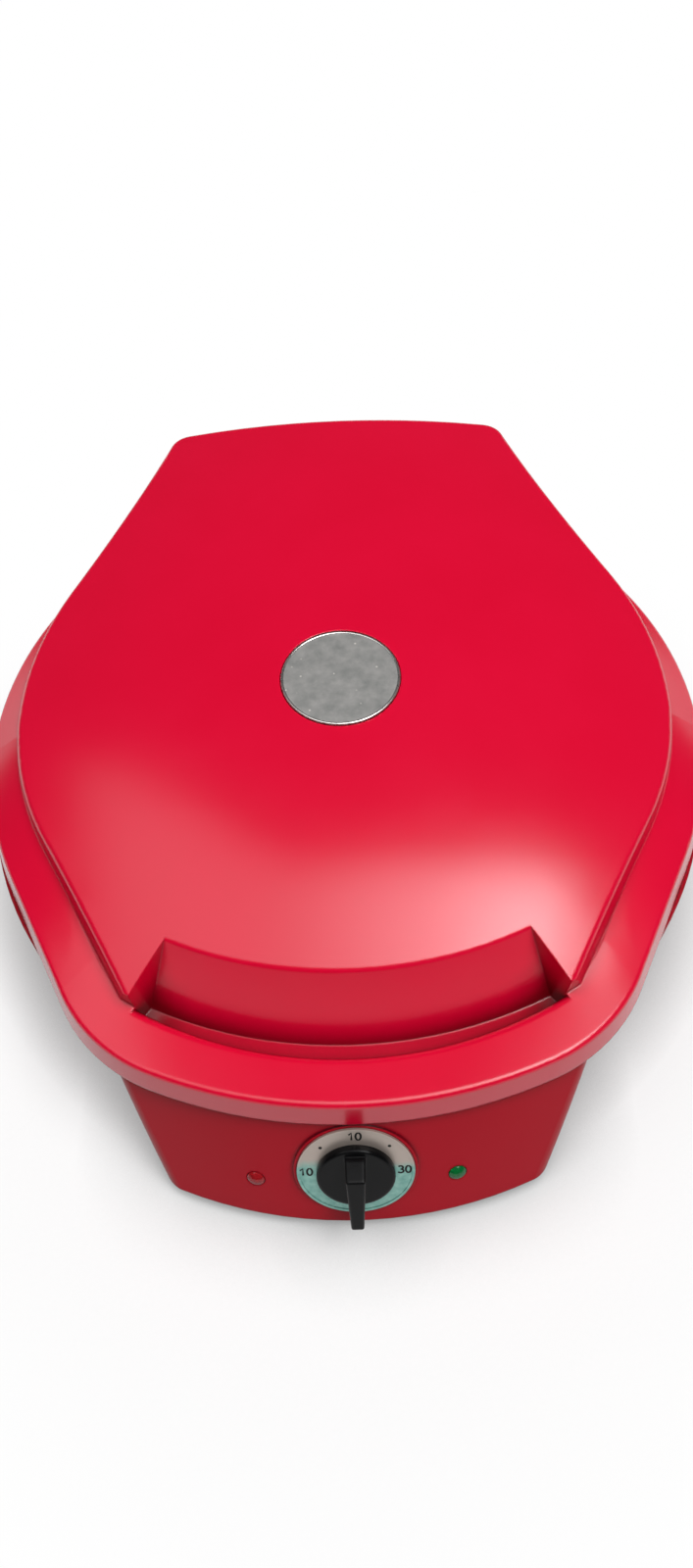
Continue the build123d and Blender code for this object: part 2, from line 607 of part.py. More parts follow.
# The skirt, and the brim above it: steep at the sides of the lid and flat at its front and back.
def brim_form(inset, edge_r):
    mid_z = SKIRT_TOP_Z - inset
    low = lid_outline(-inset)
    mid = lid_outline(-inset - SKIRT_IN)
    skirt = loft([Pos(0, 0, LID_Z) * low, Pos(0, 0, mid_z) * mid], ruled=True)
    tilt = math.degrees(math.atan(BRIM_TILT))
    halves = []
    for side in (-1, 1):
        crease = Pos(0, 0, mid_z + BRIM_SIDE_RISE) * Rot(-side * tilt, 0, 0) * brim_line(-inset)
        form = skirt + loft([Pos(0, 0, mid_z) * mid, crease], ruled=True)
        if edge_r > 0:
            form = fillet(level_edges(form, mid_z), edge_r)
        halves.append(form & Pos(0, side * HALF_SPACE / 2, 0) * Box(HALF_SPACE, HALF_SPACE, HALF_SPACE))
    return halves[0] + halves[1]


# Everything under the dome: a round crown ahead of its top and a flatter one behind it.
def dome_form(drop):
    top = DOME_TOP_Z - drop
    half = RIM_R + 30
    edge_z = top - (DOME_R - math.sqrt(DOME_R ** 2 - half ** 2))
    low = 30.0
    crown = ThreePointArc((-half, edge_z), (0, top), (half, edge_z))
    rest = Polyline((half, edge_z), (half, low), (-half, low), (-half, edge_z))
    section = Plane.XZ.offset(-DOME_Y) * make_face(crown + rest)
    front_axis = Axis((0, DOME_Y, top - DOME_R), (1, 0, 0))
    back_axis = Axis((0, DOME_Y, top - DOME_BACK_R), (1, 0, 0))
    front = revolve(section, front_axis, 30)
    back = revolve(section, back_axis, -12)
    return front + back


def panel_form(inset):
    foot = panel_outline(PANEL_SPREAD - inset)
    tall = DOME_CUT_Z - PANEL_FOOT_Z
    lean = PANEL_SPREAD / PANEL_DRAFT_H
    head = panel_outline(PANEL_SPREAD - inset - lean * tall)
    upper = loft([Pos(0, 0, PANEL_FOOT_Z) * foot, Pos(0, 0, DOME_CUT_Z) * head], ruled=True)
    upper = upper & dome_form(inset)
    return upper


def tongue_form(inset):
    # The panel's foot carried down to the lid's lower edge, behind the round part.
    foot = panel_outline(PANEL_SPREAD - inset)
    lower = Pos(0, 0, LID_Z) * extrude(foot, PANEL_FOOT_Z - LID_Z)
    return lower & Pos(0, HALF_SPACE / 2 + DOME_Y, 0) * Box(HALF_SPACE, HALF_SPACE, HALF_SPACE)


def grip_cutter(grow):
    # grow moves the floor down and the walls out, for the space that the shell keeps round it.
    low_z = GRIP_FLOOR_Z - grow
    high_z = DOME_CUT_Z + 5
    rise = (high_z - GRIP_FLOOR_Z) / (GRIP_TOP_REF_Z - GRIP_FLOOR_Z)
    low_rise = -grow / (GRIP_TOP_REF_Z - GRIP_FLOOR_Z)
    splay = math.radians(GRIP_END_SPLAY)

    def section(t, z):
        mid_y = -GRIP_WALL_Y + (GRIP_WALL_Y - GRIP_WALL_TOP_Y) * t + grow
        x = GRIP_END_X + (GRIP_END_TOP_X - GRIP_END_X) * t + grow * 0.6
        y = -GRIP_END_Y + (GRIP_END_Y - GRIP_END_TOP_Y) * t + grow
        out = 60.0
        far = (x + out * math.cos(splay), y - out * math.sin(splay))
        wall = ThreePointArc((-x, y), (0, mid_y), (x, y))
        front = Polyline((x, y), far, (far[0], -240), (-far[0], -240), (-far[0], far[1]), (-x, y))
        return Pos(0, 0, z) * make_face(wall + front)

    block = loft([section(low_rise, low_z), section(rise, high_z)], ruled=True)
    return block & drum(GRIP_R + grow, low_z - 1, high_z + 1, 0, GRIP_Y)


def lid_form(inset, edge_r=0.0):
    return brim_form(inset, edge_r) + panel_form(inset) + tongue_form(inset)


def dome_height(x, y):
    crown = DOME_R - math.sqrt(DOME_R ** 2 - x ** 2)
    if y < DOME_Y:
        return DOME_TOP_Z - DOME_R + math.sqrt(DOME_R ** 2 - x ** 2 - (y - DOME_Y) ** 2)
    spine = DOME_BACK_R - crown
    return DOME_TOP_Z - DOME_BACK_R + math.sqrt(spine ** 2 - (y - DOME_Y) ** 2)


# The lid's outside: its panel, grip bar and finger recess with their soft edges.
def lid_outside():
    body = lid_form(0.0, SKIRT_TOP_R) - grip_cutter(0.0)
    middles = [(edge, edge @ 0.5) for edge in body.edges()]
    on_bar = [e for e, m in middles if abs(math.hypot(m.X, m.Y - GRIP_Y) - GRIP_R) < 0.02]
    bar = [e for e in on_bar if (e @ 0.5).Z > SKIRT_TOP_Z and e.length > GRIP_END_X]
    body = fillet(bar, GRIP_EDGE_R)
    middles = [(edge, edge @ 0.5) for edge in body.edges() if edge.length > 2 * GRIP_FACE_W]
    on_dome = [e for e, m in middles if abs(dome_height(m.X, m.Y) - m.Z) < 0.02]
    rim = [e for e in on_dome if e.bounding_box().max.Z < DOME_TOP_Z - 1]
    return fillet(rim, PANEL_EDGE_R)


def hinge_boss_places():
    return [(ARM_MID_X, HINGE_Y - ARM_SCREW_FRONT), (ARM_MID_X, HINGE_Y - ARM_SCREW_REAR)]


def ring_screw_places():
    places = [ray(LID_R - RING_SCREW_IN, angle) for angle in RING_SCREW_ANGLES]
    return [(x, LID_ROUND_Y + y) for x, y in places]


def lid_shell():
    outer = lid_outside()
    room = lid_form(SHELL_T) & slab(LID_Z - 1, DOME_CUT_Z)
    room = room + Pos(0, 0, -2) * (room & slab(LID_Z - 1, LID_Z + 3))
    room = room - grip_cutter(SHELL_T)
    shell = outer - room
    inside = lid_form(SHELL_T * 0.5)
    for x, y in hinge_boss_places():
        for boss in both_sides(drum(BOSS_R, ARM_TOP_Z, DOME_TOP_Z, x, y)):
            shell += boss & inside
        for pilot in both_sides(drum(SCREW_R + SEAT, ARM_TOP_Z - 1, ARM_TOP_Z + 12, x, y)):
            shell -= pilot
    for x, y in ring_screw_places():
        shell += drum(BOSS_R - 1, RING_TOP_Z, SKIRT_TOP_Z + 3, x, y) & inside
        shell -= drum(SCREW_R + SEAT, RING_TOP_Z - 1, RING_TOP_Z + 7, x, y)
    seat_z = DOME_TOP_Z - BADGE_T
    shell -= drum(BADGE_R + BADGE_GAP, seat_z, DOME_CUT_Z, 0, DOME_Y)
    return shell


def lid_badge():
    seat_z = DOME_TOP_Z - BADGE_T
    disc = drum(BADGE_R, seat_z, DOME_TOP_Z, 0, DOME_Y)
    rim = [e for e in disc.edges() if e.center().Z > DOME_TOP_Z - 0.1]
    return chamfer(rim, BADGE_EDGE)


def lid_ring():
    # The frame under the lid that holds the upper plate, screwed up into the shell.
    gap = 0.3
    face = lid_outline(-SHELL_T - gap - 0.6)
    body = Pos(0, 0, LID_Z) * extrude(face, LID_RING_T)
    body -= drum(LEDGE_R, LID_Z - 1, RING_TOP_Z + 1)
    body -= drum(FLANGE_R + 0.5, LID_Z - 1, UPPER_SEAT_Z)
    for place in flange_screw_places():
        body -= place * drum(SCREW_R + SEAT, LID_Z, RING_TOP_Z + 1)
    for x, y in ring_screw_places():
        body -= drum(SCREW_R + 0.2, LID_Z - 1, RING_TOP_Z + 1, x, y)
        body -= drum(SCREW_HEAD_R + 0.2, LID_Z - 1, LID_Z + SCREW_HEAD_H, x, y)
    return body


def lid_ring_screws():
    under = Rot(180, 0, 0) * screw(SCREW_HEAD_R - 0.2, SCREW_HEAD_H - 0.3, 7)
    seat = LID_Z + SCREW_HEAD_H
    return Compound([Pos(x, y, seat) * under for x, y in ring_screw_places()])


def hinge_arm():
    # Knuckle on the pin, an upright web and a foot screwed under the lid's shell.
    width = ARM_W - 2 * SIDE_GAP
    front = HINGE_Y - ARM_REACH
    side = Pos(HINGE_Y, HINGE_Z) * Circle(KNUCKLE_R)
    web = [
        (HINGE_Y - KNUCKLE_R, HINGE_Z),
        (HINGE_Y + KNUCKLE_R * 0.9, HINGE_Z + KNUCKLE_R * 0.4),
        (HINGE_Y + 2, ARM_TOP_Z),
        (front, ARM_TOP_Z),
        (front, ARM_TOP_Z - ARM_PLATE_T),
        (HINGE_Y - 14, ARM_TOP_Z - ARM_PLATE_T),
        (HINGE_Y - KNUCKLE_R, ARM_TOP_Z - 13),
    ]
    side += make_face(Polyline(*web, close=True))
    start = ARM_MID_X - width / 2
    arm = Pos(start, 0, 0) * extrude(Plane.YZ * side, width, dir=(1, 0, 0))
    arm -= hinge_bore(PIN_R + RUNNING_GAP)
    for x, y in hinge_boss_places():
        arm -= drum(SCREW_R + HEAD_GAP, LID_Z, ARM_TOP_Z + 1, x, y)
        arm -= drum(SCREW_HEAD_R + HEAD_GAP, LID_Z, ARM_TOP_Z - ARM_PLATE_T, x, y)
    return arm


def hinge_arm_screws():
    under = Rot(180, 0, 0) * screw(SCREW_HEAD_R, SCREW_HEAD_H, 14)
    places = []
    for x, y in hinge_boss_places():
        places += [(x, y), (-x, y)]
    seat = ARM_TOP_Z - ARM_PLATE_T
    return Compound([Pos(x, y, seat) * under for x, y in places])


def hinge_pin():
    length = 2 * EAR_T + ARM_W
    rod = Plane.YZ * (Pos(HINGE_Y, HINGE_Z) * Circle(PIN_R))
    head = Plane.YZ * (Pos(HINGE_Y, HINGE_Z) * Circle(PIN_HEAD_R))
    pin = Pos(EAR_IN_X - PIN_END, 0, 0) * extrude(rod, length + PIN_END + PIN_HEAD_T / 2, dir=(1, 0, 0))
    pin += Pos(EAR_IN_X + length, 0, 0) * extrude(head, PIN_HEAD_T, dir=(1, 0, 0))
    return pin


# Controls.
def dial_ring():
    plate_low = DIAL_PAD
    body = dial_drum(DIAL_R, plate_low, plate_low + DIAL_T)
    body -= dial_drum(DIAL_R - DIAL_RIM_W, plate_low + DIAL_T - DIAL_RIM_H, KNOB_T)
    return body - dial_drum(DIAL_BORE_R, 0, KNOB_T)


def timer_knob():
    disc = drum(KNOB_R, 0, KNOB_T)
    disc = fillet([e for e in disc.edges() if e.center().Z > KNOB_T - 0.1], 1.2)
    bar = [
        (-KNOB_BAR_W / 2, KNOB_BAR_TOP),
        (KNOB_BAR_W / 2, KNOB_BAR_TOP),
        (KNOB_BAR_TIP_W / 2, -KNOB_BAR_TIP),
        (-KNOB_BAR_TIP_W / 2, -KNOB_BAR_TIP),
    ]
    grip = extrude(make_face(Polyline(*bar, close=True)), KNOB_BAR_H)
    end = KNOB_BAR_TOP + 1
    over = KNOB_BAR_H + 1
    slope = make_face(Polyline((end, KNOB_T), (end, over), (end - 6, over), close=True))
    grip -= Pos(-KNOB_R, 0, 0) * extrude(Plane.YZ * slope, 2 * KNOB_R, dir=(1, 0, 0))
    upper = [e for e in grip.edges() if e.center().Z > KNOB_T + 1]
    grip = fillet(upper, 1.0)
    knob = disc + grip
    knob -= drum(SHAFT_R + SEAT, -1, 8) - Pos(0, SHAFT_R - 0.5 + 5, 0) * Box(20, 10, 30)
    return DIAL * Pos(0, 0, KNOB_LOW) * knob


def timer_shaft():
    top = KNOB_LOW + 7.8
    rod = drum(SHAFT_R, TIMER_FACE - 10, top)
    flat = Pos(0, SHAFT_R - 0.5 - SEAT + 5, KNOB_LOW - 0.3 + 10) * Box(20, 10, 20)
    return DIAL * (rod - flat)


def timer_body():
    box = Pos(0, 0, TIMER_FACE - TIMER_D) * extrude(RectangleRounded(TIMER_W, TIMER_H, 3), TIMER_D)
    bell = drum(TIMER_BELL_R, TIMER_FACE - TIMER_D - TIMER_BELL_H, TIMER_FACE - TIMER_D)
    bush = drum(5.0, TIMER_FACE, -WALL + 2.6)
    body = box + bell + bush
    body -= drum(SHAFT_R + RUNNING_GAP, TIMER_FACE - 10.3, 5)
    for x in (-TIMER_SCREW_X, TIMER_SCREW_X):
        body -= drum(SCREW_R + SEAT, TIMER_FACE - 7, 5, x, 0)
    return DIAL * body


def timer_screws():
    one = screw(SCREW_HEAD_R, SCREW_HEAD_H, DIAL_PAD - SCREW_HEAD_H - TIMER_FACE + 6)
    seat = DIAL_PAD - SCREW_HEAD_H
    return Compound([DIAL * Pos(x, 0, seat) * one for x in (-TIMER_SCREW_X, TIMER_SCREW_X)])


def lamp_lens(frame):
    lip = 0.2
    head = drum(LAMP_R, -LAMP_SEAT, lip)
    dome_r = (LAMP_R ** 2 + LAMP_DOME_H ** 2) / (2 * LAMP_DOME_H)
    dome = Pos(0, 0, lip + LAMP_DOME_H - dome_r) * Sphere(dome_r) & drum(LAMP_R, lip, KNOB_T)
    stem = drum(LAMP_R - LAMP_STEM_W, -2 * WALL, -LAMP_SEAT)
    return frame * (head + dome + stem)


def lamp_body(frame):
    start = -2 * WALL
    bulb = drum(LAMP_R - 0.6, start - LAMP_LENGTH, start)
    collar = drum(LAMP_R + 0.8, start - LAMP_R, start)
    return frame * (bulb + collar)


# Electrical pieces in the base.
def thermostat():
    cup = drum(8.5, LOWER_BACK_Z - 7, LOWER_BACK_Z, 0, 40)
    flange = Pos(0, 40, LOWER_BACK_Z - 1) * extrude(SlotOverall(34, 14), 1)
    tabs = [Pos(s * 5, 40, LOWER_BACK_Z - 9) * Box(3, 0.8, 4) for s in (-1, 1)]
    return cup + flange + tabs


def thermal_fuse():
    y = -40.0
    z = LOWER_BACK_Z - REFLECTOR_DROP - REFLECTOR_T - 2.5
    sleeve = Pos(-14, y, z) * extrude(Plane.YZ * Circle(2.5), 28, dir=(1, 0, 0))
    leads = Pos(-24, y, z) * extrude(Plane.YZ * Circle(0.7), 48, dir=(1, 0, 0))
    return sleeve + leads


def terminal_block():
    block = Box(36, 18, 12)
    block = fillet(block.edges().filter_by(Axis.Z), 1.5)
    for x in (-12, 0, 12):
        block -= Pos(x, 0, 4) * Cylinder(2.6, 6)
        block -= Pos(x, 0, -1) * Rot(90, 0, 0) * Cylinder(1.7, 30)
    return Pos(-40, HEEL_Y - 53.5, COVER_TOP_Z + 6) * block


def make_parts():
    arm = hinge_arm()
    pin = hinge_pin()
    return {
        "base_housing": base_housing(),
        "bottom_cover": bottom_cover(),
        "cover_screws": cover_screws(),
        "foot_front_left": foot(-FOOT_X, -FOOT_Y),
        "foot_front_right": foot(FOOT_X, -FOOT_Y),
        "foot_rear_left": foot(-FOOT_X, FOOT_Y),
        "foot_rear_right": foot(FOOT_X, FOOT_Y),
        "cord_bush": cord_bush(),
        "lower_plate": lower_plate(),
        "lower_plate_screws": lower_plate_screws(),
        "lower_heater": heater(LOWER_BACK_Z - HEATER_TUBE_R - 0.1, -1),
        "lower_heater_clips": heater_clips(LOWER_BACK_Z, -1),
        "lower_reflector": reflector(LOWER_BACK_Z, -1),
        "lower_reflector_screws": reflector_screws(LOWER_BACK_Z, -1),
        "thermostat": thermostat(),
        "thermal_fuse": thermal_fuse(),
        "terminal_block": terminal_block(),
        "timer_body": timer_body(),
        "timer_screws": timer_screws(),
        "dial_ring": dial_ring(),
        "power_lens": lamp_lens(POWER_LAMP),
        "ready_lens": lamp_lens(READY_LAMP),
        "power_lamp": lamp_body(POWER_LAMP),
        "ready_lamp": lamp_body(READY_LAMP),
        "hinge_pin_right": pin,
        "hinge_pin_left": mirror(pin, about=Plane.YZ),
        "lid_shell": lid_shell(),
        "lid_badge": lid_badge(),
        "lid_ring": lid_ring(),
        "lid_ring_screws": lid_ring_screws(),
        "upper_plate": upper_plate(),
        "upper_plate_screws": upper_plate_screws(),
        "upper_heater": heater(UPPER_BACK_Z + HEATER_TUBE_R + 0.1, 1),
        "upper_heater_clips": heater_clips(UPPER_BACK_Z, 1),
        "upper_reflector": reflector(UPPER_BACK_Z, 1),
        "upper_reflector_screws": reflector_screws(UPPER_BACK_Z, 1),
        "hinge_arm_right": arm,
        "hinge_arm_left": mirror(arm, about=Plane.YZ),
        "hinge_arm_screws": hinge_arm_screws(),
        "timer_knob": timer_knob(),
        "timer_shaft": timer_shaft(),
    }


parts = make_parts()
reach = [shape.bounding_box() for shape in parts.values()]
front_y = min(box.min.Y for box in reach)
back_y = max(box.max.Y for box in reach)
centre_shift = -(front_y + back_y) / 2

os.makedirs("parts", exist_ok=True)
for name, shape in parts.items():
    export_step(Pos(0, centre_shift, 0) * shape, "parts/" + name + ".step")
print("moved along Y by", round(centre_shift, 3))
print("hinge axis y, z", round(HINGE_Y + centre_shift, 3), HINGE_Z)
print("dial centre y, z", round(-DIAL_AXIS_R + centre_shift, 3), DIAL_Z)
print("inlet x, y, z", INLET_X, round(HEEL_Y + centre_shift, 3), INLET_Z)
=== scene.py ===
# %% [markdown]
# Electric pizza maker, closed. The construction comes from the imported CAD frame, and this script
# gives it its looks: finishes for every piece, the printed dial, the floor, the light and the camera.
# All lengths are metres in the frame's own axes: +Z up, -Y towards the control panel.

# %% Load the frame
import json
import math

import bmesh
import bpy
from mathutils import Matrix, Vector


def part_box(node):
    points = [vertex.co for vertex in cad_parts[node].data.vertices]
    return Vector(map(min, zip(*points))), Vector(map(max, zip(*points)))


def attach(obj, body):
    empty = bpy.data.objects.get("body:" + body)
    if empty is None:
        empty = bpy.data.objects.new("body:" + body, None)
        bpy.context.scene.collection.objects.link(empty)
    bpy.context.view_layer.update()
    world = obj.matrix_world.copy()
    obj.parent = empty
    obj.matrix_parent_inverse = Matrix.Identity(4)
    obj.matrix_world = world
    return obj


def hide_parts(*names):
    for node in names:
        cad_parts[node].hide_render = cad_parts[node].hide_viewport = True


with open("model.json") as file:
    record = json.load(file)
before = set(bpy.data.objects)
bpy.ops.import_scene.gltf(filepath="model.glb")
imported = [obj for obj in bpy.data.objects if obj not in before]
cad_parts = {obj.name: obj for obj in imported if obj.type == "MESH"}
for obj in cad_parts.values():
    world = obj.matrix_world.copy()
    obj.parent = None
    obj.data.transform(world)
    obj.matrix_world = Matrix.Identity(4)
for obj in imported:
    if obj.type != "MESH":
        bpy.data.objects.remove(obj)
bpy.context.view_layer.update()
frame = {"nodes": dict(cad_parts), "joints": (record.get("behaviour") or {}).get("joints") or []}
MM = 0.001
SCENE = bpy.context.scene

# %% [markdown]
# Places are read from the frame, so a piece made here sits on the CAD piece that carries it.
# The baking plates share one upright axis. The dial leans back with the control panel, and the
# timer's joint gives its middle and the direction that points out of it.

# %% Reference places
plate_low, plate_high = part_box("lower_plate")
AXIS_Y = (plate_low[1] + plate_high[1]) / 2
badge_low, badge_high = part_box("lid_badge")
BADGE_CENTRE = (Vector(badge_low) + Vector(badge_high)) / 2
BADGE_R = (badge_high[0] - badge_low[0]) / 2
BADGE_T = badge_high[2] - badge_low[2]
timer = next(joint for joint in frame["joints"] if joint["name"] == "timer_turn")
DIAL_PLACE = Vector(timer["pos_m"])
DIAL_OUT = -Vector(timer["axis"]).normalized()
DIAL_UP = DIAL_OUT.cross(Vector((1, 0, 0)))
dial_axes = Matrix(((1, 0, 0), DIAL_UP, DIAL_OUT)).transposed().to_4x4()
DIAL_FRAME = Matrix.Translation(DIAL_PLACE) @ dial_axes
print("plate axis y, mm:", round(AXIS_Y / MM, 2), "badge radius, mm:", round(BADGE_R / MM, 2))
print("dial leans back by degrees:", round(math.degrees(math.asin(DIAL_OUT.z)), 1))

# %% [markdown]
# The camera stands where the picture was taken: in front of the object, well above it, looking down
# at about 56 degrees, a little turned and tilted. The numbers come from matching round parts of known
# shape, the base's rim, the badge and the dial, with their outlines in the picture. Angles are radians.

# %% Camera
CAMERA_FROM_AXIS = Vector((9.59, -333.41, 529.65)) * MM
PITCH, YAW, ROLL = 0.973147, -0.0287133, -0.0587868
LENS_MM, SENSOR_MM = 27.009, 36.0


def camera_axes(pitch, yaw, roll):
    forward = Vector((math.sin(yaw) * math.cos(pitch), math.cos(yaw) * math.cos(pitch), -math.sin(pitch)))
    level = Vector((math.cos(yaw), -math.sin(yaw), 0))
    up = level.cross(forward)
    right = math.cos(roll) * level + math.sin(roll) * up
    return right, math.cos(roll) * up - math.sin(roll) * level, forward


right, up, forward = camera_axes(PITCH, YAW, ROLL)
camera_data = bpy.data.cameras.new("camera")
camera_data.lens = LENS_MM
camera_data.sensor_width = SENSOR_MM
camera_data.sensor_fit = "AUTO"
camera = bpy.data.objects.new("camera", camera_data)
camera_place = Matrix.Translation(CAMERA_FROM_AXIS + Vector((0, AXIS_Y, 0)))
camera.matrix_world = camera_place @ Matrix((right, up, -forward)).transposed().to_4x4()
SCENE.collection.objects.link(camera)
SCENE.camera = camera
SCENE.view_settings.view_transform = "Standard"
print("camera looks down by degrees:", round(math.degrees(PITCH), 1))

# %% [markdown]
# Colours are written as the sRGB hex values that a colour picker shows, and shaders want linear
# numbers, so one function turns one into the other. One more adds a node with its settings and links.
# It finds an input by its name, or by i and its number where names repeat. A link comes from an
# output, or from a node, which stands for its first output. A list makes one link for each entry.

# %% Colours and nodes
def hex_colour(text):
    channels = [int(text[i:i + 2], 16) / 255 for i in (1, 3, 5)]
    linear = [c / 12.92 if c <= 0.04045 else ((c + 0.055) / 1.055) ** 2.4 for c in channels]
    return (*linear, 1.0)


def find_input(node, name):
    if name[0] == "i" and name[1:].isdigit():
        return node.inputs[int(name[1:])]
    return node.inputs.get(name.replace("_", " "))


def add_node(tree, kind, settings=None, **links):
    node = tree.nodes.new(kind)
    for name, value in (settings or {}).items():
        socket = find_input(node, name)
        if socket is None:
            setattr(node, name, value)
        else:
            socket.default_value = value
    for name, sources in links.items():
        for source in sources if isinstance(sources, list) else [sources]:
            output = source.outputs[0] if isinstance(source, bpy.types.Node) else source
            tree.links.new(output, find_input(node, name))
    return node


print("the picker's #808080 is", round(hex_colour("#808080")[0], 3), "in linear light")

# %% [markdown]
# Every material reads Object coordinates, which are real lengths here, so a pattern keeps its size on
# every piece. A pattern's scale is one over the size of its grain, and a Mix node blends two colours.

# %% Materials in general
def new_material(name):
    material = bpy.data.materials.new(name)
    material.use_nodes = True
    tree = material.node_tree
    tree.nodes.remove(tree.nodes["Principled BSDF"])
    return material, tree, add_node(tree, "ShaderNodeTexCoord").outputs["Object"]


def finish_material(material, shader):
    tree = material.node_tree
    tree.links.new(shader.outputs[0], tree.nodes["Material Output"].inputs["Surface"])
    print("material", material.name)
    return material


def every(grain_mm):
    return 1 / (grain_mm * MM)


def blend(low, high):
    return {"data_type": "RGBA", "i6": hex_colour(low), "i7": hex_colour(high)}


def dress(material, *nodes):
    for name in nodes:
        for slot in frame["nodes"][name].material_slots:
            slot.material = material
    print("  on", ", ".join(nodes))


print("a grain of 2 mm has the scale", every(2))

# %% [markdown]
# The housing is injection-moulded ABS, coloured in the mass. The lid's mould is polished, so the lid is
# glossy with a faint waviness, and handling leaves scratches so fine that they only dull the shine in
# clouds. The base comes out of a duller mould and mirrors less of the room, and its red is darker,
# partly as a second moulding and partly as painted shade on the panel under the lid's overhang.
# Ambient Occlusion finds other faces close by, and the colour is darkened there: painted shade in nooks
# such as the bottom of the finger recess. The mould's edges are slightly round: the Bevel node turns
# the normals near an edge, which needs no more faces.

# %% Red moulded ABS
NOOK_SHADE_REACH = 20 * MM
NOOK_SHADE_DARK, NOOK_SHADE_CLEAR = 0.42, 0.84
MOULD_EDGE = 1.2 * MM


def red_abs(name, reds, nook_shade, rough, shine):
    material, tree, place = new_material(name)
    peel = add_node(tree, "ShaderNodeTexNoise", {"Scale": every(1.6), "Detail": 2.0}, Vector=place)
    wave = add_node(tree, "ShaderNodeTexNoise", {"Scale": every(22), "Detail": 1.0}, Vector=place)
    haze = add_node(tree, "ShaderNodeTexNoise", {"Scale": every(45), "Detail": 5.0}, Vector=place)
    dull = add_node(tree, "ShaderNodeMapRange", {"To Min": rough[0], "To Max": rough[1]}, Value=haze)
    clean = add_node(tree, "ShaderNodeMix", blend(*reds), i0=haze)
    # Painted shade: where Ambient Occlusion finds faces close by, the red is mixed towards a dark red.
    close = add_node(tree, "ShaderNodeAmbientOcclusion", {"samples": 8, "Distance": NOOK_SHADE_REACH})
    free = add_node(tree, "ShaderNodeMapRange", {"From Min": NOOK_SHADE_DARK, "From Max": NOOK_SHADE_CLEAR},
                    Value=close.outputs["AO"])
    colour = add_node(tree, "ShaderNodeMix", {"data_type": "RGBA", "i6": hex_colour(nook_shade)},
                      i0=free, i7=clean.outputs[2])
    edge = add_node(tree, "ShaderNodeBevel", {"samples": 6, "Radius": MOULD_EDGE})
    fine = add_node(tree, "ShaderNodeBump", {"Strength": 0.05, "Distance": 0.06 * MM},
                    Height=peel, Normal=edge)
    bump = add_node(tree, "ShaderNodeBump", {"Strength": 0.1, "Distance": 0.5 * MM},
                    Height=wave, Normal=fine)
    shader = add_node(tree, "ShaderNodeBsdfPrincipled", {"IOR": 1.54, "Specular IOR Level": shine},
                      Base_Color=colour.outputs[2], Roughness=dull, Normal=bump)
    return finish_material(material, shader)


dress(red_abs("red_polished_abs", reds=("#de022f", "#e60437"), nook_shade="#6a020e",
              rough=(0.16, 0.25), shine=0.5), "lid_shell")
# The base's red is darker than the lid's: partly a second moulding, partly painted shade on the panel.
dress(red_abs("red_satin_abs_painted_shade", reds=("#ac021b", "#b4031f"), nook_shade="#4a0410",
              rough=(0.3, 0.4), shine=0.14), "base_housing")

# %% [markdown]
# The bottom cover, the frame inside the lid and the hinge arms are black PBT, which stands the heat.
# Its mould is spark-eroded: an even field of tiny pits, about half a millimetre apart, scatters the
# light so the surface looks matt and hides marks. Voronoi cells have that even spacing.

# %% Black spark-textured PBT
def black_pbt():
    material, tree, place = new_material("black_spark_textured_pbt")
    pits = add_node(tree, "ShaderNodeTexVoronoi", {"Scale": every(0.55)}, Vector=place)
    dust = add_node(tree, "ShaderNodeTexNoise", {"Scale": every(18), "Detail": 6.0}, Vector=place)
    colour = add_node(tree, "ShaderNodeMix", blend("#1d1d1f", "#2b2b2d"), i0=dust)
    dull = add_node(tree, "ShaderNodeMapRange", {"To Min": 0.5, "To Max": 0.66}, Value=dust)
    bump = add_node(tree, "ShaderNodeBump", {"Strength": 0.5, "Distance": 0.06 * MM}, Height=pits)
    shader = add_node(tree, "ShaderNodeBsdfPrincipled", {"IOR": 1.55}, Base_Color=colour.outputs[2],
                      Roughness=dull, Normal=bump)
    return finish_material(material, shader)


dress(black_pbt(), "bottom_cover", "lid_ring", "hinge_arm_left", "hinge_arm_right")

# %% [markdown]
# Feet and the cord's bush are moulded rubber: very dark and matt, with a dusty grey bloom that gathers
# in use. One flat dark colour would look like a hole in the picture, so a noise pattern makes the
# colour paler and the shine duller in the same places, as the bloom does.

# %% Moulded rubber
def black_rubber():
    material, tree, place = new_material("moulded_black_rubber")
    bloom = add_node(tree, "ShaderNodeTexNoise", {"Scale": every(5), "Detail": 6.0}, Vector=place)
    grain = add_node(tree, "ShaderNodeTexNoise", {"Scale": every(0.4), "Detail": 2.0}, Vector=place)
    colour = add_node(tree, "ShaderNodeMix", blend("#141414", "#2a2a2a"), i0=bloom)
    dull = add_node(tree, "ShaderNodeMapRange", {"To Min": 0.7, "To Max": 0.9}, Value=bloom)
    bump = add_node(tree, "ShaderNodeBump", {"Strength": 0.3, "Distance": 0.05 * MM}, Height=grain)
    shader = add_node(tree, "ShaderNodeBsdfPrincipled", {"IOR": 1.5}, Base_Color=colour.outputs[2],
                      Roughness=dull, Normal=bump)
    return finish_material(material, shader)


dress(black_rubber(), "foot_front_left", "foot_front_right", "foot_rear_left", "foot_rear_right",
      "cord_bush")

# %% [markdown]
# The baking plates are die-cast aluminium with a sprayed non-stick coating. The spray dries to a fine
# orange peel with pale mineral specks, and years of pizza leave patches a little browner and duller.
# Each Voronoi cell could hold a speck, and a random number of its own decides whether it does.

# %% Non-stick coated aluminium
SPECK_SHARE = 0.38


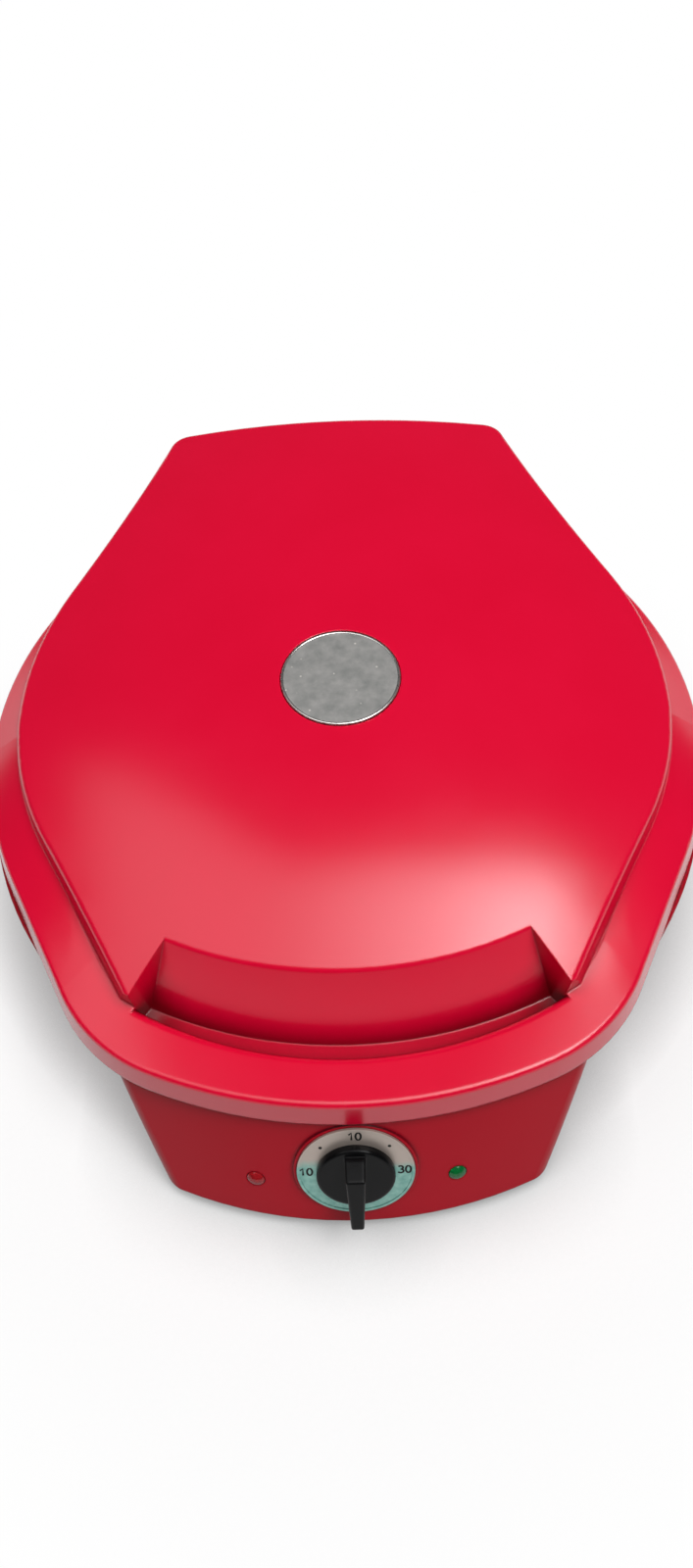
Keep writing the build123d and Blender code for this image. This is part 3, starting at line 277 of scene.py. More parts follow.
def nonstick():
    material, tree, place = new_material("nonstick_coated_aluminium")
    cells = add_node(tree, "ShaderNodeTexVoronoi", {"Scale": every(2.4)}, Vector=place)
    lot = add_node(tree, "ShaderNodeTexWhiteNoise", {}, Vector=cells.outputs["Position"])
    spot = add_node(tree, "ShaderNodeMapRange", {"From Min": 0.16, "From Max": 0.1}, Value=cells)
    drawn = add_node(tree, "ShaderNodeMath", {"operation": "GREATER_THAN", "i1": 1 - SPECK_SHARE}, i0=lot)
    speck = add_node(tree, "ShaderNodeMath", {"operation": "MULTIPLY"}, i0=spot, i1=drawn)
    used = add_node(tree, "ShaderNodeTexNoise", {"Scale": every(60), "Detail": 6.0}, Vector=place)
    coat = add_node(tree, "ShaderNodeMix", blend("#232324", "#33302d"), i0=used)
    colour = add_node(tree, "ShaderNodeMix", {"data_type": "RGBA", "i7": hex_colour("#77736c")},
                      i0=speck, i6=coat.outputs[2])
    peel = add_node(tree, "ShaderNodeTexNoise", {"Scale": every(0.7), "Detail": 2.0}, Vector=place)
    bump = add_node(tree, "ShaderNodeBump", {"Strength": 0.35, "Distance": 0.05 * MM}, Height=peel)
    dull = add_node(tree, "ShaderNodeMapRange", {"To Min": 0.36, "To Max": 0.52}, Value=used)
    shader = add_node(tree, "ShaderNodeBsdfPrincipled", {"IOR": 1.45}, Base_Color=colour.outputs[2],
                      Roughness=dull, Normal=bump)
    return finish_material(material, shader)


dress(nonstick(), "lower_plate", "upper_plate")

# %% [markdown]
# Heating elements are steel tubes that have glowed: the oxide goes from dark brown to grey in clouds
# about a centimetre wide. Reflector pans and clips are galvanised sheet, which shows the zinc's flat
# crystals. Pins, screws, the timer's shaft and the thermostat's case are bright-plated steel. All
# three are bare metal with a pattern in its colour and its shine, so one function makes them, with
# soft clouds or flat crystals for the pattern.

# %% Metal finishes
def metal(name, colours, grain_mm, rough, crystals=False):
    material, tree, place = new_material(name)
    if crystals:
        cells = add_node(tree, "ShaderNodeTexVoronoi", {"Scale": every(grain_mm)}, Vector=place)
        pattern = add_node(tree, "ShaderNodeTexWhiteNoise", {}, Vector=cells.outputs["Position"])
    else:
        pattern = add_node(tree, "ShaderNodeTexNoise", {"Scale": every(grain_mm), "Detail": 5.0},
                           Vector=place)
    colour = add_node(tree, "ShaderNodeMix", blend(*colours), i0=pattern)
    dull = add_node(tree, "ShaderNodeMapRange", {"To Min": rough[0], "To Max": rough[1]}, Value=pattern)
    fine = add_node(tree, "ShaderNodeTexNoise", {"Scale": every(0.5), "Detail": 3.0}, Vector=place)
    bump = add_node(tree, "ShaderNodeBump", {"Strength": 0.15, "Distance": 0.03 * MM}, Height=fine)
    shader = add_node(tree, "ShaderNodeBsdfPrincipled", {"Metallic": 1.0}, Base_Color=colour.outputs[2],
                      Roughness=dull, Normal=bump)
    return finish_material(material, shader)


OXIDISED = metal("oxidised_steel_tube", ("#4a423c", "#7d756c"), grain_mm=12, rough=(0.38, 0.6))
dress(OXIDISED, "lower_heater", "upper_heater")
GALVANISED = metal("galvanised_sheet_steel", ("#a8abad", "#c9cbcc"), grain_mm=7, rough=(0.28, 0.42),
                   crystals=True)
dress(GALVANISED, "lower_reflector", "upper_reflector", "lower_heater_clips", "upper_heater_clips")
BRIGHT_STEEL = metal("bright_zinc_plated_steel", ("#b9bcbf", "#d5d7d8"), grain_mm=3, rough=(0.18, 0.32))
dress(BRIGHT_STEEL, "hinge_pin_left", "hinge_pin_right", "timer_shaft", "thermostat", "timer_screws")

# %% [markdown]
# Upright screws are pan heads with a cross recess. Their places and sizes are measured on the CAD
# solids, so they need no list of numbers here. A CAD node's mesh is loose triangles, so a copy is
# merged first, and points that edges join are one screw. The head is where the screw is widest, and
# the flat side of the head is its seat.

# %% Measure the screws
MERGE = 0.001 * MM
PAST_SEAT = 0.5 * MM


def solids_of(node):
    form = bmesh.new()
    form.from_mesh(frame["nodes"][node].data)
    bmesh.ops.remove_doubles(form, verts=form.verts, dist=MERGE)
    left, solids = set(form.verts), []
    for first in form.verts:
        if first not in left:
            continue
        left.remove(first)
        points, edge = [], [first]
        while edge:
            vert = edge.pop()
            points.append(vert.co.copy())
            near = {link.other_vert(vert) for link in vert.link_edges} & left
            left -= near
            edge += near
        solids.append(points)
    form.free()
    return solids


def measure_screw(points):
    low, high = [[pick(p[i] for p in points) for i in range(3)] for pick in (min, max)]
    centre = [(low[i] + high[i]) / 2 for i in range(2)]
    reach = [(math.hypot(p[0] - centre[0], p[1] - centre[1]), p[2]) for p in points]
    head_r = max(r for r, z in reach)
    widest = [z for r, z in reach if r > 0.99 * head_r]
    head_down = min(widest) - low[2] < high[2] - max(widest)
    seat = max(widest) if head_down else min(widest)
    below, above = seat - low[2], high[2] - seat
    shank_r = max(r for r, z in reach if (z > seat + PAST_SEAT if head_down else z < seat - PAST_SEAT))
    sizes = {"Head radius": head_r, "Head height": below if head_down else above,
             "Shank radius": shank_r, "Length": above if head_down else below,
             "Turn over": math.pi if head_down else 0.0}
    return (*centre, seat), sizes


print("cover screws found:", len(solids_of("cover_screws")))

# %% [markdown]
# What repeats is grown with Geometry Nodes, and a tree gets its sizes as named inputs, so one tree
# serves screws of every size. A pan head is pressed to a flat dome, and a punch drives the cross into
# it. Here the head starts as a squashed ball, and a Boolean cuts away two crossed bars and the half
# below the seat. The bars' length and width are shares of the head's radius.

# %% The screw's head
CROSS_LONG, CROSS_WIDE = 1.15, 0.22
CUTTER = 20 * MM


def new_tree(name, inputs):
    tree = bpy.data.node_groups.new(name, "GeometryNodeTree")
    tree.interface.new_socket("Geometry", in_out="INPUT", socket_type="NodeSocketGeometry")
    for label, value in inputs.items():
        tree.interface.new_socket(label, in_out="INPUT", socket_type="NodeSocketFloat").default_value = value
    tree.interface.new_socket("Geometry", in_out="OUTPUT", socket_type="NodeSocketGeometry")
    return tree, tree.nodes.new("NodeGroupInput"), tree.nodes.new("NodeGroupOutput")


def cross_head(tree, radius, height):
    ball = add_node(tree, "GeometryNodeMeshUVSphere", {"Segments": 24, "Rings": 12, "Radius": 1.0})
    squash = add_node(tree, "ShaderNodeCombineXYZ", {}, X=radius, Y=radius, Z=height)
    dome = add_node(tree, "GeometryNodeTransform", {}, Geometry=ball, Scale=squash)
    smooth = add_node(tree, "GeometryNodeSetShadeSmooth", {}, Geometry=dome)
    long = add_node(tree, "ShaderNodeMath", {"operation": "MULTIPLY", "i1": CROSS_LONG}, i0=radius)
    slim = add_node(tree, "ShaderNodeMath", {"operation": "MULTIPLY", "i1": CROSS_WIDE}, i0=radius)
    top = add_node(tree, "ShaderNodeCombineXYZ", {}, Z=height)
    cutters = []
    for x, y in ((long, slim), (slim, long)):
        size = add_node(tree, "ShaderNodeCombineXYZ", {}, X=x, Y=y, Z=height)
        bar = add_node(tree, "GeometryNodeMeshCube", {}, Size=size)
        cutters.append(add_node(tree, "GeometryNodeTransform", {}, Geometry=bar, Translation=top))
    block = add_node(tree, "GeometryNodeMeshCube", {"Size": (CUTTER, CUTTER, CUTTER)})
    cutters.append(add_node(tree, "GeometryNodeTransform", {"Translation": (0, 0, -CUTTER / 2)},
                            Geometry=block))
    return add_node(tree, "GeometryNodeMeshBoolean", {"operation": "DIFFERENCE", "solver": "EXACT"},
                    i0=smooth, i1=cutters)


SCREW_INPUTS = {"Head radius": 3 * MM, "Head height": 2 * MM, "Shank radius": 1.5 * MM, "Length": 8 * MM,
                "Turn over": 0.0}
print("the screw's tree takes:", ", ".join(SCREW_INPUTS))

# %% [markdown]
# The shank is a plain rod, because its thread is hidden in the boss. Head and shank are joined, turned
# over where the head looks down, and set on every point that the tree is given. A tree ends in
# Realize Instances, because the export drops instances, and in Set Material, once for every finish:
# an empty list for where means everywhere.

# %% The screw on its points
def finish_tree(tree, geometry, result, *finishes):
    last = add_node(tree, "GeometryNodeRealizeInstances", {}, Geometry=geometry)
    for material, where in finishes:
        last = add_node(tree, "GeometryNodeSetMaterial", {"Material": material},
                        Geometry=last, Selection=where)
    tree.links.new(last.outputs[0], result.inputs[0])
    print("tree", tree.name, "has", len(tree.nodes), "nodes")
    return tree


def screw_tree():
    tree, given, result = new_tree("pan_head_screw", SCREW_INPUTS)
    head = cross_head(tree, given.outputs["Head radius"], given.outputs["Head height"])
    rod = add_node(tree, "GeometryNodeMeshCylinder", {"Vertices": 16},
                   Radius=given.outputs["Shank radius"], Depth=given.outputs["Length"])
    half = add_node(tree, "ShaderNodeMath", {"operation": "MULTIPLY", "i1": -0.5},
                    i0=given.outputs["Length"])
    down = add_node(tree, "ShaderNodeCombineXYZ", {}, Z=half)
    shank = add_node(tree, "GeometryNodeTransform", {}, Geometry=rod, Translation=down)
    screw = add_node(tree, "GeometryNodeJoinGeometry", {}, Geometry=[head, shank])
    turn = add_node(tree, "ShaderNodeCombineXYZ", {}, X=given.outputs["Turn over"])
    points = add_node(tree, "GeometryNodeMeshToPoints", {}, Mesh=given.outputs["Geometry"])
    row = add_node(tree, "GeometryNodeInstanceOnPoints", {}, Points=points, Instance=screw, Rotation=turn)
    return finish_tree(tree, row, result, (BRIGHT_STEEL, []))


SCREW_TREE = screw_tree()

# %% [markdown]
# A tree works on a seed object: a mesh that holds only points, one for each screw. The modifier's
# inputs are set by their identifiers before Blender evaluates it, the result is kept as a plain mesh,
# and the seed goes, so nothing stays live. Each group takes its CAD node's place and body.

# %% Grow the screws
def points_mesh(name, places):
    mesh = bpy.data.meshes.new(name)
    mesh.from_pydata(places, [], [])
    return mesh


def grow(name, seed_mesh, tree, values):
    seed = bpy.data.objects.new(name + "_seed", seed_mesh)
    SCENE.collection.objects.link(seed)
    modifier = seed.modifiers.new("nodes", "NODES")
    modifier.node_group = tree
    for item in tree.interface.items_tree:
        if item.in_out == "INPUT" and item.name in values:
            modifier[item.identifier] = values[item.name]
    grown = bpy.data.meshes.new_from_object(seed.evaluated_get(bpy.context.evaluated_depsgraph_get()))
    bpy.data.objects.remove(seed)
    piece = bpy.data.objects.new(name, grown)
    SCENE.collection.objects.link(piece)
    print(name, "faces:", len(grown.polygons))
    return piece


def grow_screws(node, body):
    measured = [measure_screw(points) for points in solids_of(node)]
    places, sizes = [place for place, _ in measured], measured[-1][1]
    piece = grow(node + "_pan_head", points_mesh(node + "_places", places), SCREW_TREE, sizes)
    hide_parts(node)
    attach(piece, body)
    print(len(places), "screws, head radius, mm:", round(sizes["Head radius"] / MM, 2))


SCREW_GROUPS = {
    "base": ("cover_screws", "lower_plate_screws", "lower_reflector_screws"),
    "lid": ("lid_ring_screws", "upper_plate_screws", "upper_reflector_screws", "hinge_arm_screws"),
}
for body, nodes in SCREW_GROUPS.items():
    for node in nodes:
        grow_screws(node, body)

# %% [markdown]
# The badge is a thin stamped aluminium disc glued in a shallow seat. Its face is sanded: fine grain
# across it, some wiped-in grey haze, and a few pale pinpricks of wear. The face is only partly
# metallic, because the haze and the lacquer over it scatter light as a paint would.

# %% Sanded aluminium
PINPRICK_SHARE = 0.2


def sanded_aluminium():
    material, tree, place = new_material("sanded_aluminium_sheet")
    across = add_node(tree, "ShaderNodeMapping", {"Scale": (1.0, 9.0, 1.0)}, Vector=place)
    grain = add_node(tree, "ShaderNodeTexNoise", {"Scale": every(3.0), "Detail": 6.0}, Vector=across)
    haze = add_node(tree, "ShaderNodeTexNoise", {"Scale": every(7), "Detail": 7.0, "Roughness": 0.62},
                    Vector=place)
    cells = add_node(tree, "ShaderNodeTexVoronoi", {"Scale": every(3.2)}, Vector=place)
    lot = add_node(tree, "ShaderNodeTexWhiteNoise", {}, Vector=cells.outputs["Position"])
    spot = add_node(tree, "ShaderNodeMapRange", {"From Min": 0.2, "From Max": 0.08}, Value=cells)
    drawn = add_node(tree, "ShaderNodeMath", {"operation": "GREATER_THAN", "i1": 1 - PINPRICK_SHARE}, i0=lot)
    prick = add_node(tree, "ShaderNodeMath", {"operation": "MULTIPLY"}, i0=spot, i1=drawn)
    sheet = add_node(tree, "ShaderNodeMix", blend("#7d8280", "#dedad7"), i0=haze)
    colour = add_node(tree, "ShaderNodeMix", {"data_type": "RGBA", "i7": hex_colour("#f4efe9")},
                      i0=prick, i6=sheet.outputs[2])
    dull = add_node(tree, "ShaderNodeMapRange", {"To Min": 0.38, "To Max": 0.52}, Value=grain)
    bump = add_node(tree, "ShaderNodeBump", {"Strength": 0.25, "Distance": 0.05 * MM}, Height=grain)
    shader = add_node(tree, "ShaderNodeBsdfPrincipled", {"Metallic": 0.6}, Base_Color=colour.outputs[2],
                      Roughness=dull, Normal=bump)
    return finish_material(material, shader)


POLISHED_RIM = metal("polished_aluminium_rim", ("#e2dfdc", "#f2efec"), grain_mm=4, rough=(0.22, 0.34))
SANDED_FACE = sanded_aluminium()

# %% [markdown]
# Stamping rolls the disc's rim over a little, and that rim catches the light as a bright line. A small
# circle swept round a large one makes the rim, a flat cylinder makes the sheet, and whatever lies in
# the rim's reach gets the polished finish.

# %% Stamped badge
BEAD = 0.7 * MM


def badge_tree():
    tree, given, result = new_tree("stamped_badge", {"Radius": 27 * MM, "Thickness": 1.5 * MM, "Bead": BEAD})
    radius, thickness, bead = (given.outputs[name] for name in ("Radius", "Thickness", "Bead"))
    inner = add_node(tree, "ShaderNodeMath", {"operation": "SUBTRACT"}, i0=radius, i1=bead)
    path = add_node(tree, "GeometryNodeCurvePrimitiveCircle", {"Resolution": 128}, Radius=inner)
    profile = add_node(tree, "GeometryNodeCurvePrimitiveCircle", {"Resolution": 14}, Radius=bead)
    rim = add_node(tree, "GeometryNodeCurveToMesh", {}, Curve=path, Profile_Curve=profile)
    smooth = add_node(tree, "GeometryNodeSetShadeSmooth", {}, Geometry=rim)
    rim_height = add_node(tree, "ShaderNodeMath", {"operation": "SUBTRACT"}, i0=thickness, i1=bead)
    rim_level = add_node(tree, "ShaderNodeCombineXYZ", {}, Z=rim_height)
    raised = add_node(tree, "GeometryNodeTransform", {}, Geometry=smooth, Translation=rim_level)
    half_bead = add_node(tree, "ShaderNodeMath", {"operation": "MULTIPLY", "i1": 0.5}, i0=bead)
    depth = add_node(tree, "ShaderNodeMath", {"operation": "SUBTRACT"}, i0=thickness, i1=half_bead)
    sheet = add_node(tree, "GeometryNodeMeshCylinder", {"Vertices": 128}, Radius=inner, Depth=depth)
    half_depth = add_node(tree, "ShaderNodeMath", {"operation": "MULTIPLY", "i1": 0.5}, i0=depth)
    middle = add_node(tree, "ShaderNodeCombineXYZ", {}, Z=half_depth)
    disc = add_node(tree, "GeometryNodeTransform", {}, Geometry=sheet, Translation=middle)
    both = add_node(tree, "GeometryNodeJoinGeometry", {}, Geometry=[raised, disc])
    place = add_node(tree, "GeometryNodeInputPosition")
    away = add_node(tree, "ShaderNodeVectorMath", {"operation": "LENGTH"}, i0=place)
    rim_from = add_node(tree, "ShaderNodeMath", {"operation": "SUBTRACT"}, i0=inner, i1=bead)
    at_rim = add_node(tree, "ShaderNodeMath", {"operation": "GREATER_THAN"},
                      i0=away.outputs["Value"], i1=rim_from)
    return finish_tree(tree, both, result, (SANDED_FACE, []), (POLISHED_RIM, at_rim))


badge = grow("badge_disc", points_mesh("badge_place", [(0, 0, 0)]), badge_tree(),
             {"Radius": BADGE_R, "Thickness": BADGE_T, "Bead": BEAD})
badge.data.transform(Matrix.Translation((BADGE_CENTRE.x, BADGE_CENTRE.y, badge_low[2])))
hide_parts("lid_badge")
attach(badge, "lid")
print("badge thickness, mm:", round(BADGE_T / MM, 2))

# %% [markdown]
# The dial is a printed aluminium ring with a thin turned rim. The metal is satin and lacquered, and its
# colour is a warm grey above and green below. The height up the leaning panel decides between the
# two, and a cloud pattern shifts that height a few millimetres, so the border isn't a straight line.

# %% Lacquered aluminium dial
TINT_TOP, GREY_FROM = 1 * MM, 7 * MM
CLOUD_SHIFT = 9 * MM


def dial_aluminium():
    material, tree, place = new_material("lacquered_satin_aluminium")
    centred = add_node(tree, "ShaderNodeMapping", {"Location": -DIAL_PLACE}, Vector=place)
    height = add_node(tree, "ShaderNodeVectorMath", {"operation": "DOT_PRODUCT", "i1": DIAL_UP}, i0=centred)
    cloud = add_node(tree, "ShaderNodeTexNoise", {"Scale": every(9), "Detail": 3.0}, Vector=place)
    shift = add_node(tree, "ShaderNodeMath", {"operation": "MULTIPLY_ADD", "i1": CLOUD_SHIFT,
                                              "i2": -CLOUD_SHIFT / 2}, i0=cloud)
    level = add_node(tree, "ShaderNodeMath", {"operation": "ADD"}, i0=height.outputs["Value"], i1=shift)
    upper = add_node(tree, "ShaderNodeMapRange", {"From Min": TINT_TOP, "From Max": GREY_FROM,
                                                  "interpolation_type": "SMOOTHSTEP"}, Value=level)
    patch = add_node(tree, "ShaderNodeTexNoise", {"Scale": every(2.6), "Detail": 4.0}, Vector=place)
    tint = add_node(tree, "ShaderNodeMix", blend("#4f8f86", "#a5cfc4"), i0=patch)
    colour = add_node(tree, "ShaderNodeMix", {"data_type": "RGBA", "i7": hex_colour("#b9aca3")},
                      i0=upper, i6=tint.outputs[2])
    grain = add_node(tree, "ShaderNodeTexNoise", {"Scale": every(0.6), "Detail": 2.0}, Vector=place)
    dull = add_node(tree, "ShaderNodeMapRange", {"To Min": 0.34, "To Max": 0.48}, Value=grain)
    bump = add_node(tree, "ShaderNodeBump", {"Strength": 0.12, "Distance": 0.03 * MM}, Height=grain)
    shader = add_node(tree, "ShaderNodeBsdfPrincipled", {"Metallic": 0.6}, Base_Color=colour.outputs[2],
                      Roughness=dull, Normal=bump)
    return finish_material(material, shader)


dress(dial_aluminium(), "dial_ring")

# %% [markdown]
# The figures and dots are screen-printed on the ring. A printed figure is a path with a pen of one
# width drawn along it, so the script writes only the paths. Each is drawn in a box that is one unit
# high. A figure's and a dot's place is in millimetres on the dial, where x goes right and y goes up.

# %% Paths of the printed figures
FIGURE_H = 4.0 * MM
FIGURE_STEP = 0.78
FIGURES = (("10", -20.8, 0.4), ("10", 0.0, 20.4), ("30", 20.2, 0.4))
DOTS = ((-14.2, 14.4), (14.2, 14.4))


def arc(centre_x, centre_y, half_w, half_h, start, end, steps):
    turns = [math.radians(start + (end - start) * i / steps) for i in range(steps + 1)]
    return [(centre_x + half_w * math.cos(a), centre_y + half_h * math.sin(a)) for a in turns]


FIGURE_PATHS = {
    "1": [(-0.2, 0.22), (0.08, 0.5), (0.08, -0.5)],
    "0": arc(0, 0, 0.27, 0.5, 90, 450, 24),
    "3": arc(-0.02, 0.26, 0.25, 0.24, 150, -80, 12) + arc(-0.02, -0.24, 0.3, 0.26, 80, -150, 12),
}


def figure_lines():
    verts, edges = [], []
    for text, x, y in FIGURES:
        for i, digit in enumerate(text):
            shift = (i - (len(text) - 1) / 2) * FIGURE_STEP
            path = [(x * MM + (shift + u) * FIGURE_H, y * MM + v * FIGURE_H, 0)
                    for u, v in FIGURE_PATHS[digit]]
            edges += [(len(verts) + k, len(verts) + k + 1) for k in range(len(path) - 1)]
            verts += path
    mesh = bpy.data.meshes.new("figure_lines")
    mesh.from_pydata(verts, edges, [])
    print("figure lines:", len(edges))
    return mesh


LINES = figure_lines()

# %% [markdown]
# Screen ink is pushed through a fine mesh and dries matt and dense. The mesh lays a little more of it
# here and less there, so a fine noise pattern mixes two blacks.

# %% Black screen ink
def screen_ink():
    material, tree, place = new_material("black_screen_ink")
    mottle = add_node(tree, "ShaderNodeTexNoise", {"Scale": every(0.25), "Detail": 2.0}, Vector=place)
    colour = add_node(tree, "ShaderNodeMix", blend("#080808", "#161515"), i0=mottle)
    shader = add_node(tree, "ShaderNodeBsdfPrincipled", {"Roughness": 0.6, "Specular IOR Level": 0.3},
                      Base_Color=colour.outputs[2])
    return finish_material(material, shader)


SCREEN_INK = screen_ink()

# %% [markdown]
# The print is a skin of that ink a few hundredths of a millimetre thick. Geometry Nodes sweep the pen
# along the paths, flatten the result to that skin and set a dot on each of two points, so the pen's
# width stays a named number. The result is then moved from the dial's plane onto the ring.

# %% Printed figures and dots
RING_FACE = 1.3 * MM
PEN = 0.44 * MM
FLATTEN = 0.06


def dial_print_tree():
    tree, given, result = new_tree("dial_print", {"Pen": PEN, "Dot": 0.75 * MM, "Ink": 0.03 * MM})
    curves = add_node(tree, "GeometryNodeMeshToCurve", {}, Mesh=given.outputs["Geometry"])
    pen = add_node(tree, "GeometryNodeCurvePrimitiveCircle", {"Resolution": 8}, Radius=given.outputs["Pen"])
    lines = add_node(tree, "GeometryNodeCurveToMesh", {"Fill Caps": True}, Curve=curves, Profile_Curve=pen)
    skin = add_node(tree, "GeometryNodeTransform", {"Scale": (1, 1, FLATTEN)}, Geometry=lines)
    disc = add_node(tree, "GeometryNodeMeshCircle", {"fill_type": "NGON", "Vertices": 20},
                    Radius=given.outputs["Dot"])
    spots = [add_node(tree, "GeometryNodePoints", {"Position": (x * MM, y * MM, 0)}) for x, y in DOTS]
    points = add_node(tree, "GeometryNodeJoinGeometry", {}, Geometry=spots)
    dots = add_node(tree, "GeometryNodeInstanceOnPoints", {}, Points=points, Instance=disc)
    both = add_node(tree, "GeometryNodeJoinGeometry", {}, Geometry=[skin, dots])
    proud = add_node(tree, "ShaderNodeCombineXYZ", {}, Z=given.outputs["Ink"])
    raised = add_node(tree, "GeometryNodeTransform", {}, Geometry=both, Translation=proud)
    return finish_tree(tree, raised, result, (SCREEN_INK, []))


dial_print = grow("dial_print", LINES, dial_print_tree(), {"Pen": PEN})
dial_print.data.transform(DIAL_FRAME @ Matrix.Translation((0, 0, RING_FACE)))
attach(dial_print, "base")

# %% [markdown]
# The knob is moulded black ABS with a high polish. It shows small clear reflections, dulled a little
# where fingers turn it, so a noise pattern changes the roughness and leaves the shape smooth. The
# Bevel node rounds its edges for the light alone, as on the housing.

# %% Polished black knob
KNOB_EDGE = 1.4 * MM


def polished_black():
    material, tree, place = new_material("polished_black_abs")
    touch = add_node(tree, "ShaderNodeTexNoise", {"Scale": every(6), "Detail": 5.0}, Vector=place)
    dull = add_node(tree, "ShaderNodeMapRange", {"To Min": 0.1, "To Max": 0.24}, Value=touch)
    colour = add_node(tree, "ShaderNodeMix", blend("#070708", "#101011"), i0=touch)
    edge = add_node(tree, "ShaderNodeBevel", {"samples": 6, "Radius": KNOB_EDGE})
    shader = add_node(tree, "ShaderNodeBsdfPrincipled", {"IOR": 1.5, "Specular IOR Level": 0.12},
                      Base_Color=colour.outputs[2], Roughness=dull, Normal=edge)
    return finish_material(material, shader)


dress(polished_black(), "timer_knob")

# %% [markdown]
# The lamps' lenses are small domes of clear tinted polycarbonate over a dark well. Light goes in at
# the top and gathers as a bright crescent at the far side, so they need real transmission. Part of
# the shader stays opaque, which keeps a lens coloured where little light gets behind it.

# %% Tinted lenses and lamp glass
def tinted(name, colour, rough):
    material, tree, place = new_material(name)
    flow = add_node(tree, "ShaderNodeTexNoise", {"Scale": every(2.5), "Detail": 2.0}, Vector=place)
    dull = add_node(tree, "ShaderNodeMapRange", {"To Min": rough, "To Max": rough + 0.05}, Value=flow)
    clear = {"IOR": 1.4, "Transmission Weight": 0.55, "Base Color": hex_colour(colour)}
    shader = add_node(tree, "ShaderNodeBsdfPrincipled", clear, Roughness=dull)
    return finish_material(material, shader)


dress(tinted("red_tinted_polycarbonate", "#c8222c", rough=0.08), "power_lens")
dress(tinted("green_tinted_polycarbonate", "#128a44", rough=0.08), "ready_lens")
dress(tinted("clear_lamp_glass", "#e8e2d4", rough=0.02), "power_lamp", "ready_lamp")

# %% [markdown]
# Inside the base sit the timer's cream nylon case and a glazed ceramic terminal block. They are seen
# only from below through the vents, and still get their own finish: the nylon has a fine mould grain,
# and the glaze a soft ripple a few millimetres wide. Both are pale, cloudy and slightly uneven, so one
# function makes them from their colours, their shine and the size of that grain or ripple.

# %% Pale mouldings
def pale_moulding(name, colours, rough, grain_mm, depth_mm):
    material, tree, place = new_material(name)
    cloud = add_node(tree, "ShaderNodeTexNoise", {"Scale": every(8), "Detail": 4.0}, Vector=place)
    grain = add_node(tree, "ShaderNodeTexNoise", {"Scale": every(grain_mm), "Detail": 2.0}, Vector=place)
    colour = add_node(tree, "ShaderNodeMix", blend(*colours), i0=cloud)
    dull = add_node(tree, "ShaderNodeMapRange", {"To Min": rough, "To Max": rough + 0.12}, Value=cloud)
    bump = add_node(tree, "ShaderNodeBump", {"Strength": 0.3, "Distance": depth_mm * MM}, Height=grain)
    shader = add_node(tree, "ShaderNodeBsdfPrincipled", {"IOR": 1.5}, Base_Color=colour.outputs[2],
                      Roughness=dull, Normal=bump)
    return finish_material(material, shader)


CREAM_NYLON = pale_moulding("moulded_cream_nylon", ("#d2cab6", "#dfd8c6"), rough=0.42,
                            grain_mm=0.6, depth_mm=0.04)
dress(CREAM_NYLON, "timer_body")
GLAZED_STEATITE = pale_moulding("glazed_steatite", ("#ddd5c2", "#ece6d8"), rough=0.16,
                                grain_mm=2.5, depth_mm=0.05)
dress(GLAZED_STEATITE, "terminal_block")

# %% [markdown]
# The thermal fuse wears a woven glass sleeve. Two wave patterns at right angles stand for its warp and
# weft, and the higher of the two is the thread that lies on top. A wave's bands lie about a third of
# its grain apart, which makes the threads 1.4 mm wide: real ones are finer and would not show.

# %% Woven sleeve
def woven_sleeve():
    material, tree, place = new_material("woven_glass_sleeve")
    warp, weft = [add_node(tree, "ShaderNodeTexWave", {"Scale": every(4.5), "bands_direction": way},
                           Vector=place).outputs["Fac"] for way in ("X", "Z")]
    weave = add_node(tree, "ShaderNodeMath", {"operation": "MAXIMUM"}, i0=warp, i1=weft)
    colour = add_node(tree, "ShaderNodeMix", blend("#b9b3a4", "#e0dbcd"), i0=weave)
    bump = add_node(tree, "ShaderNodeBump", {"Strength": 0.6, "Distance": 0.15 * MM}, Height=weave)
    shader = add_node(tree, "ShaderNodeBsdfPrincipled", {"Roughness": 0.8}, Base_Color=colour.outputs[2],
                      Normal=bump)
    return finish_material(material, shader)


dress(woven_sleeve(), "thermal_fuse")

# %% [markdown]
# The floor is white matt paper that keeps the object's soft shadow. Close to what touches it, a firmer
# shade is painted in: Ambient Occlusion darkens the paper's colour there, a painted contact shadow.
# Further out it fades into an even white, for the camera and for whatever mirrors it. The fade is an
# oval round a point in front of the frame's middle, so the shadow at the front stays. Light that
# bounces up to the object would come from a darker table top, so the paper counts as mid grey there
# and the front keeps its depth.

# %% White paper
PAPER_SHIFT = (0, 0.06, 0)
PAPER_SHAPE = (1.16, 1, 1)
PAPER_NEAR, PAPER_FAR = 0.17, 0.33
EVEN_SHARE_NEAR = 0.3
SHADE_REACH = 0.042
SHADE_DARK, SHADE_CLEAR = 0.35, 0.97


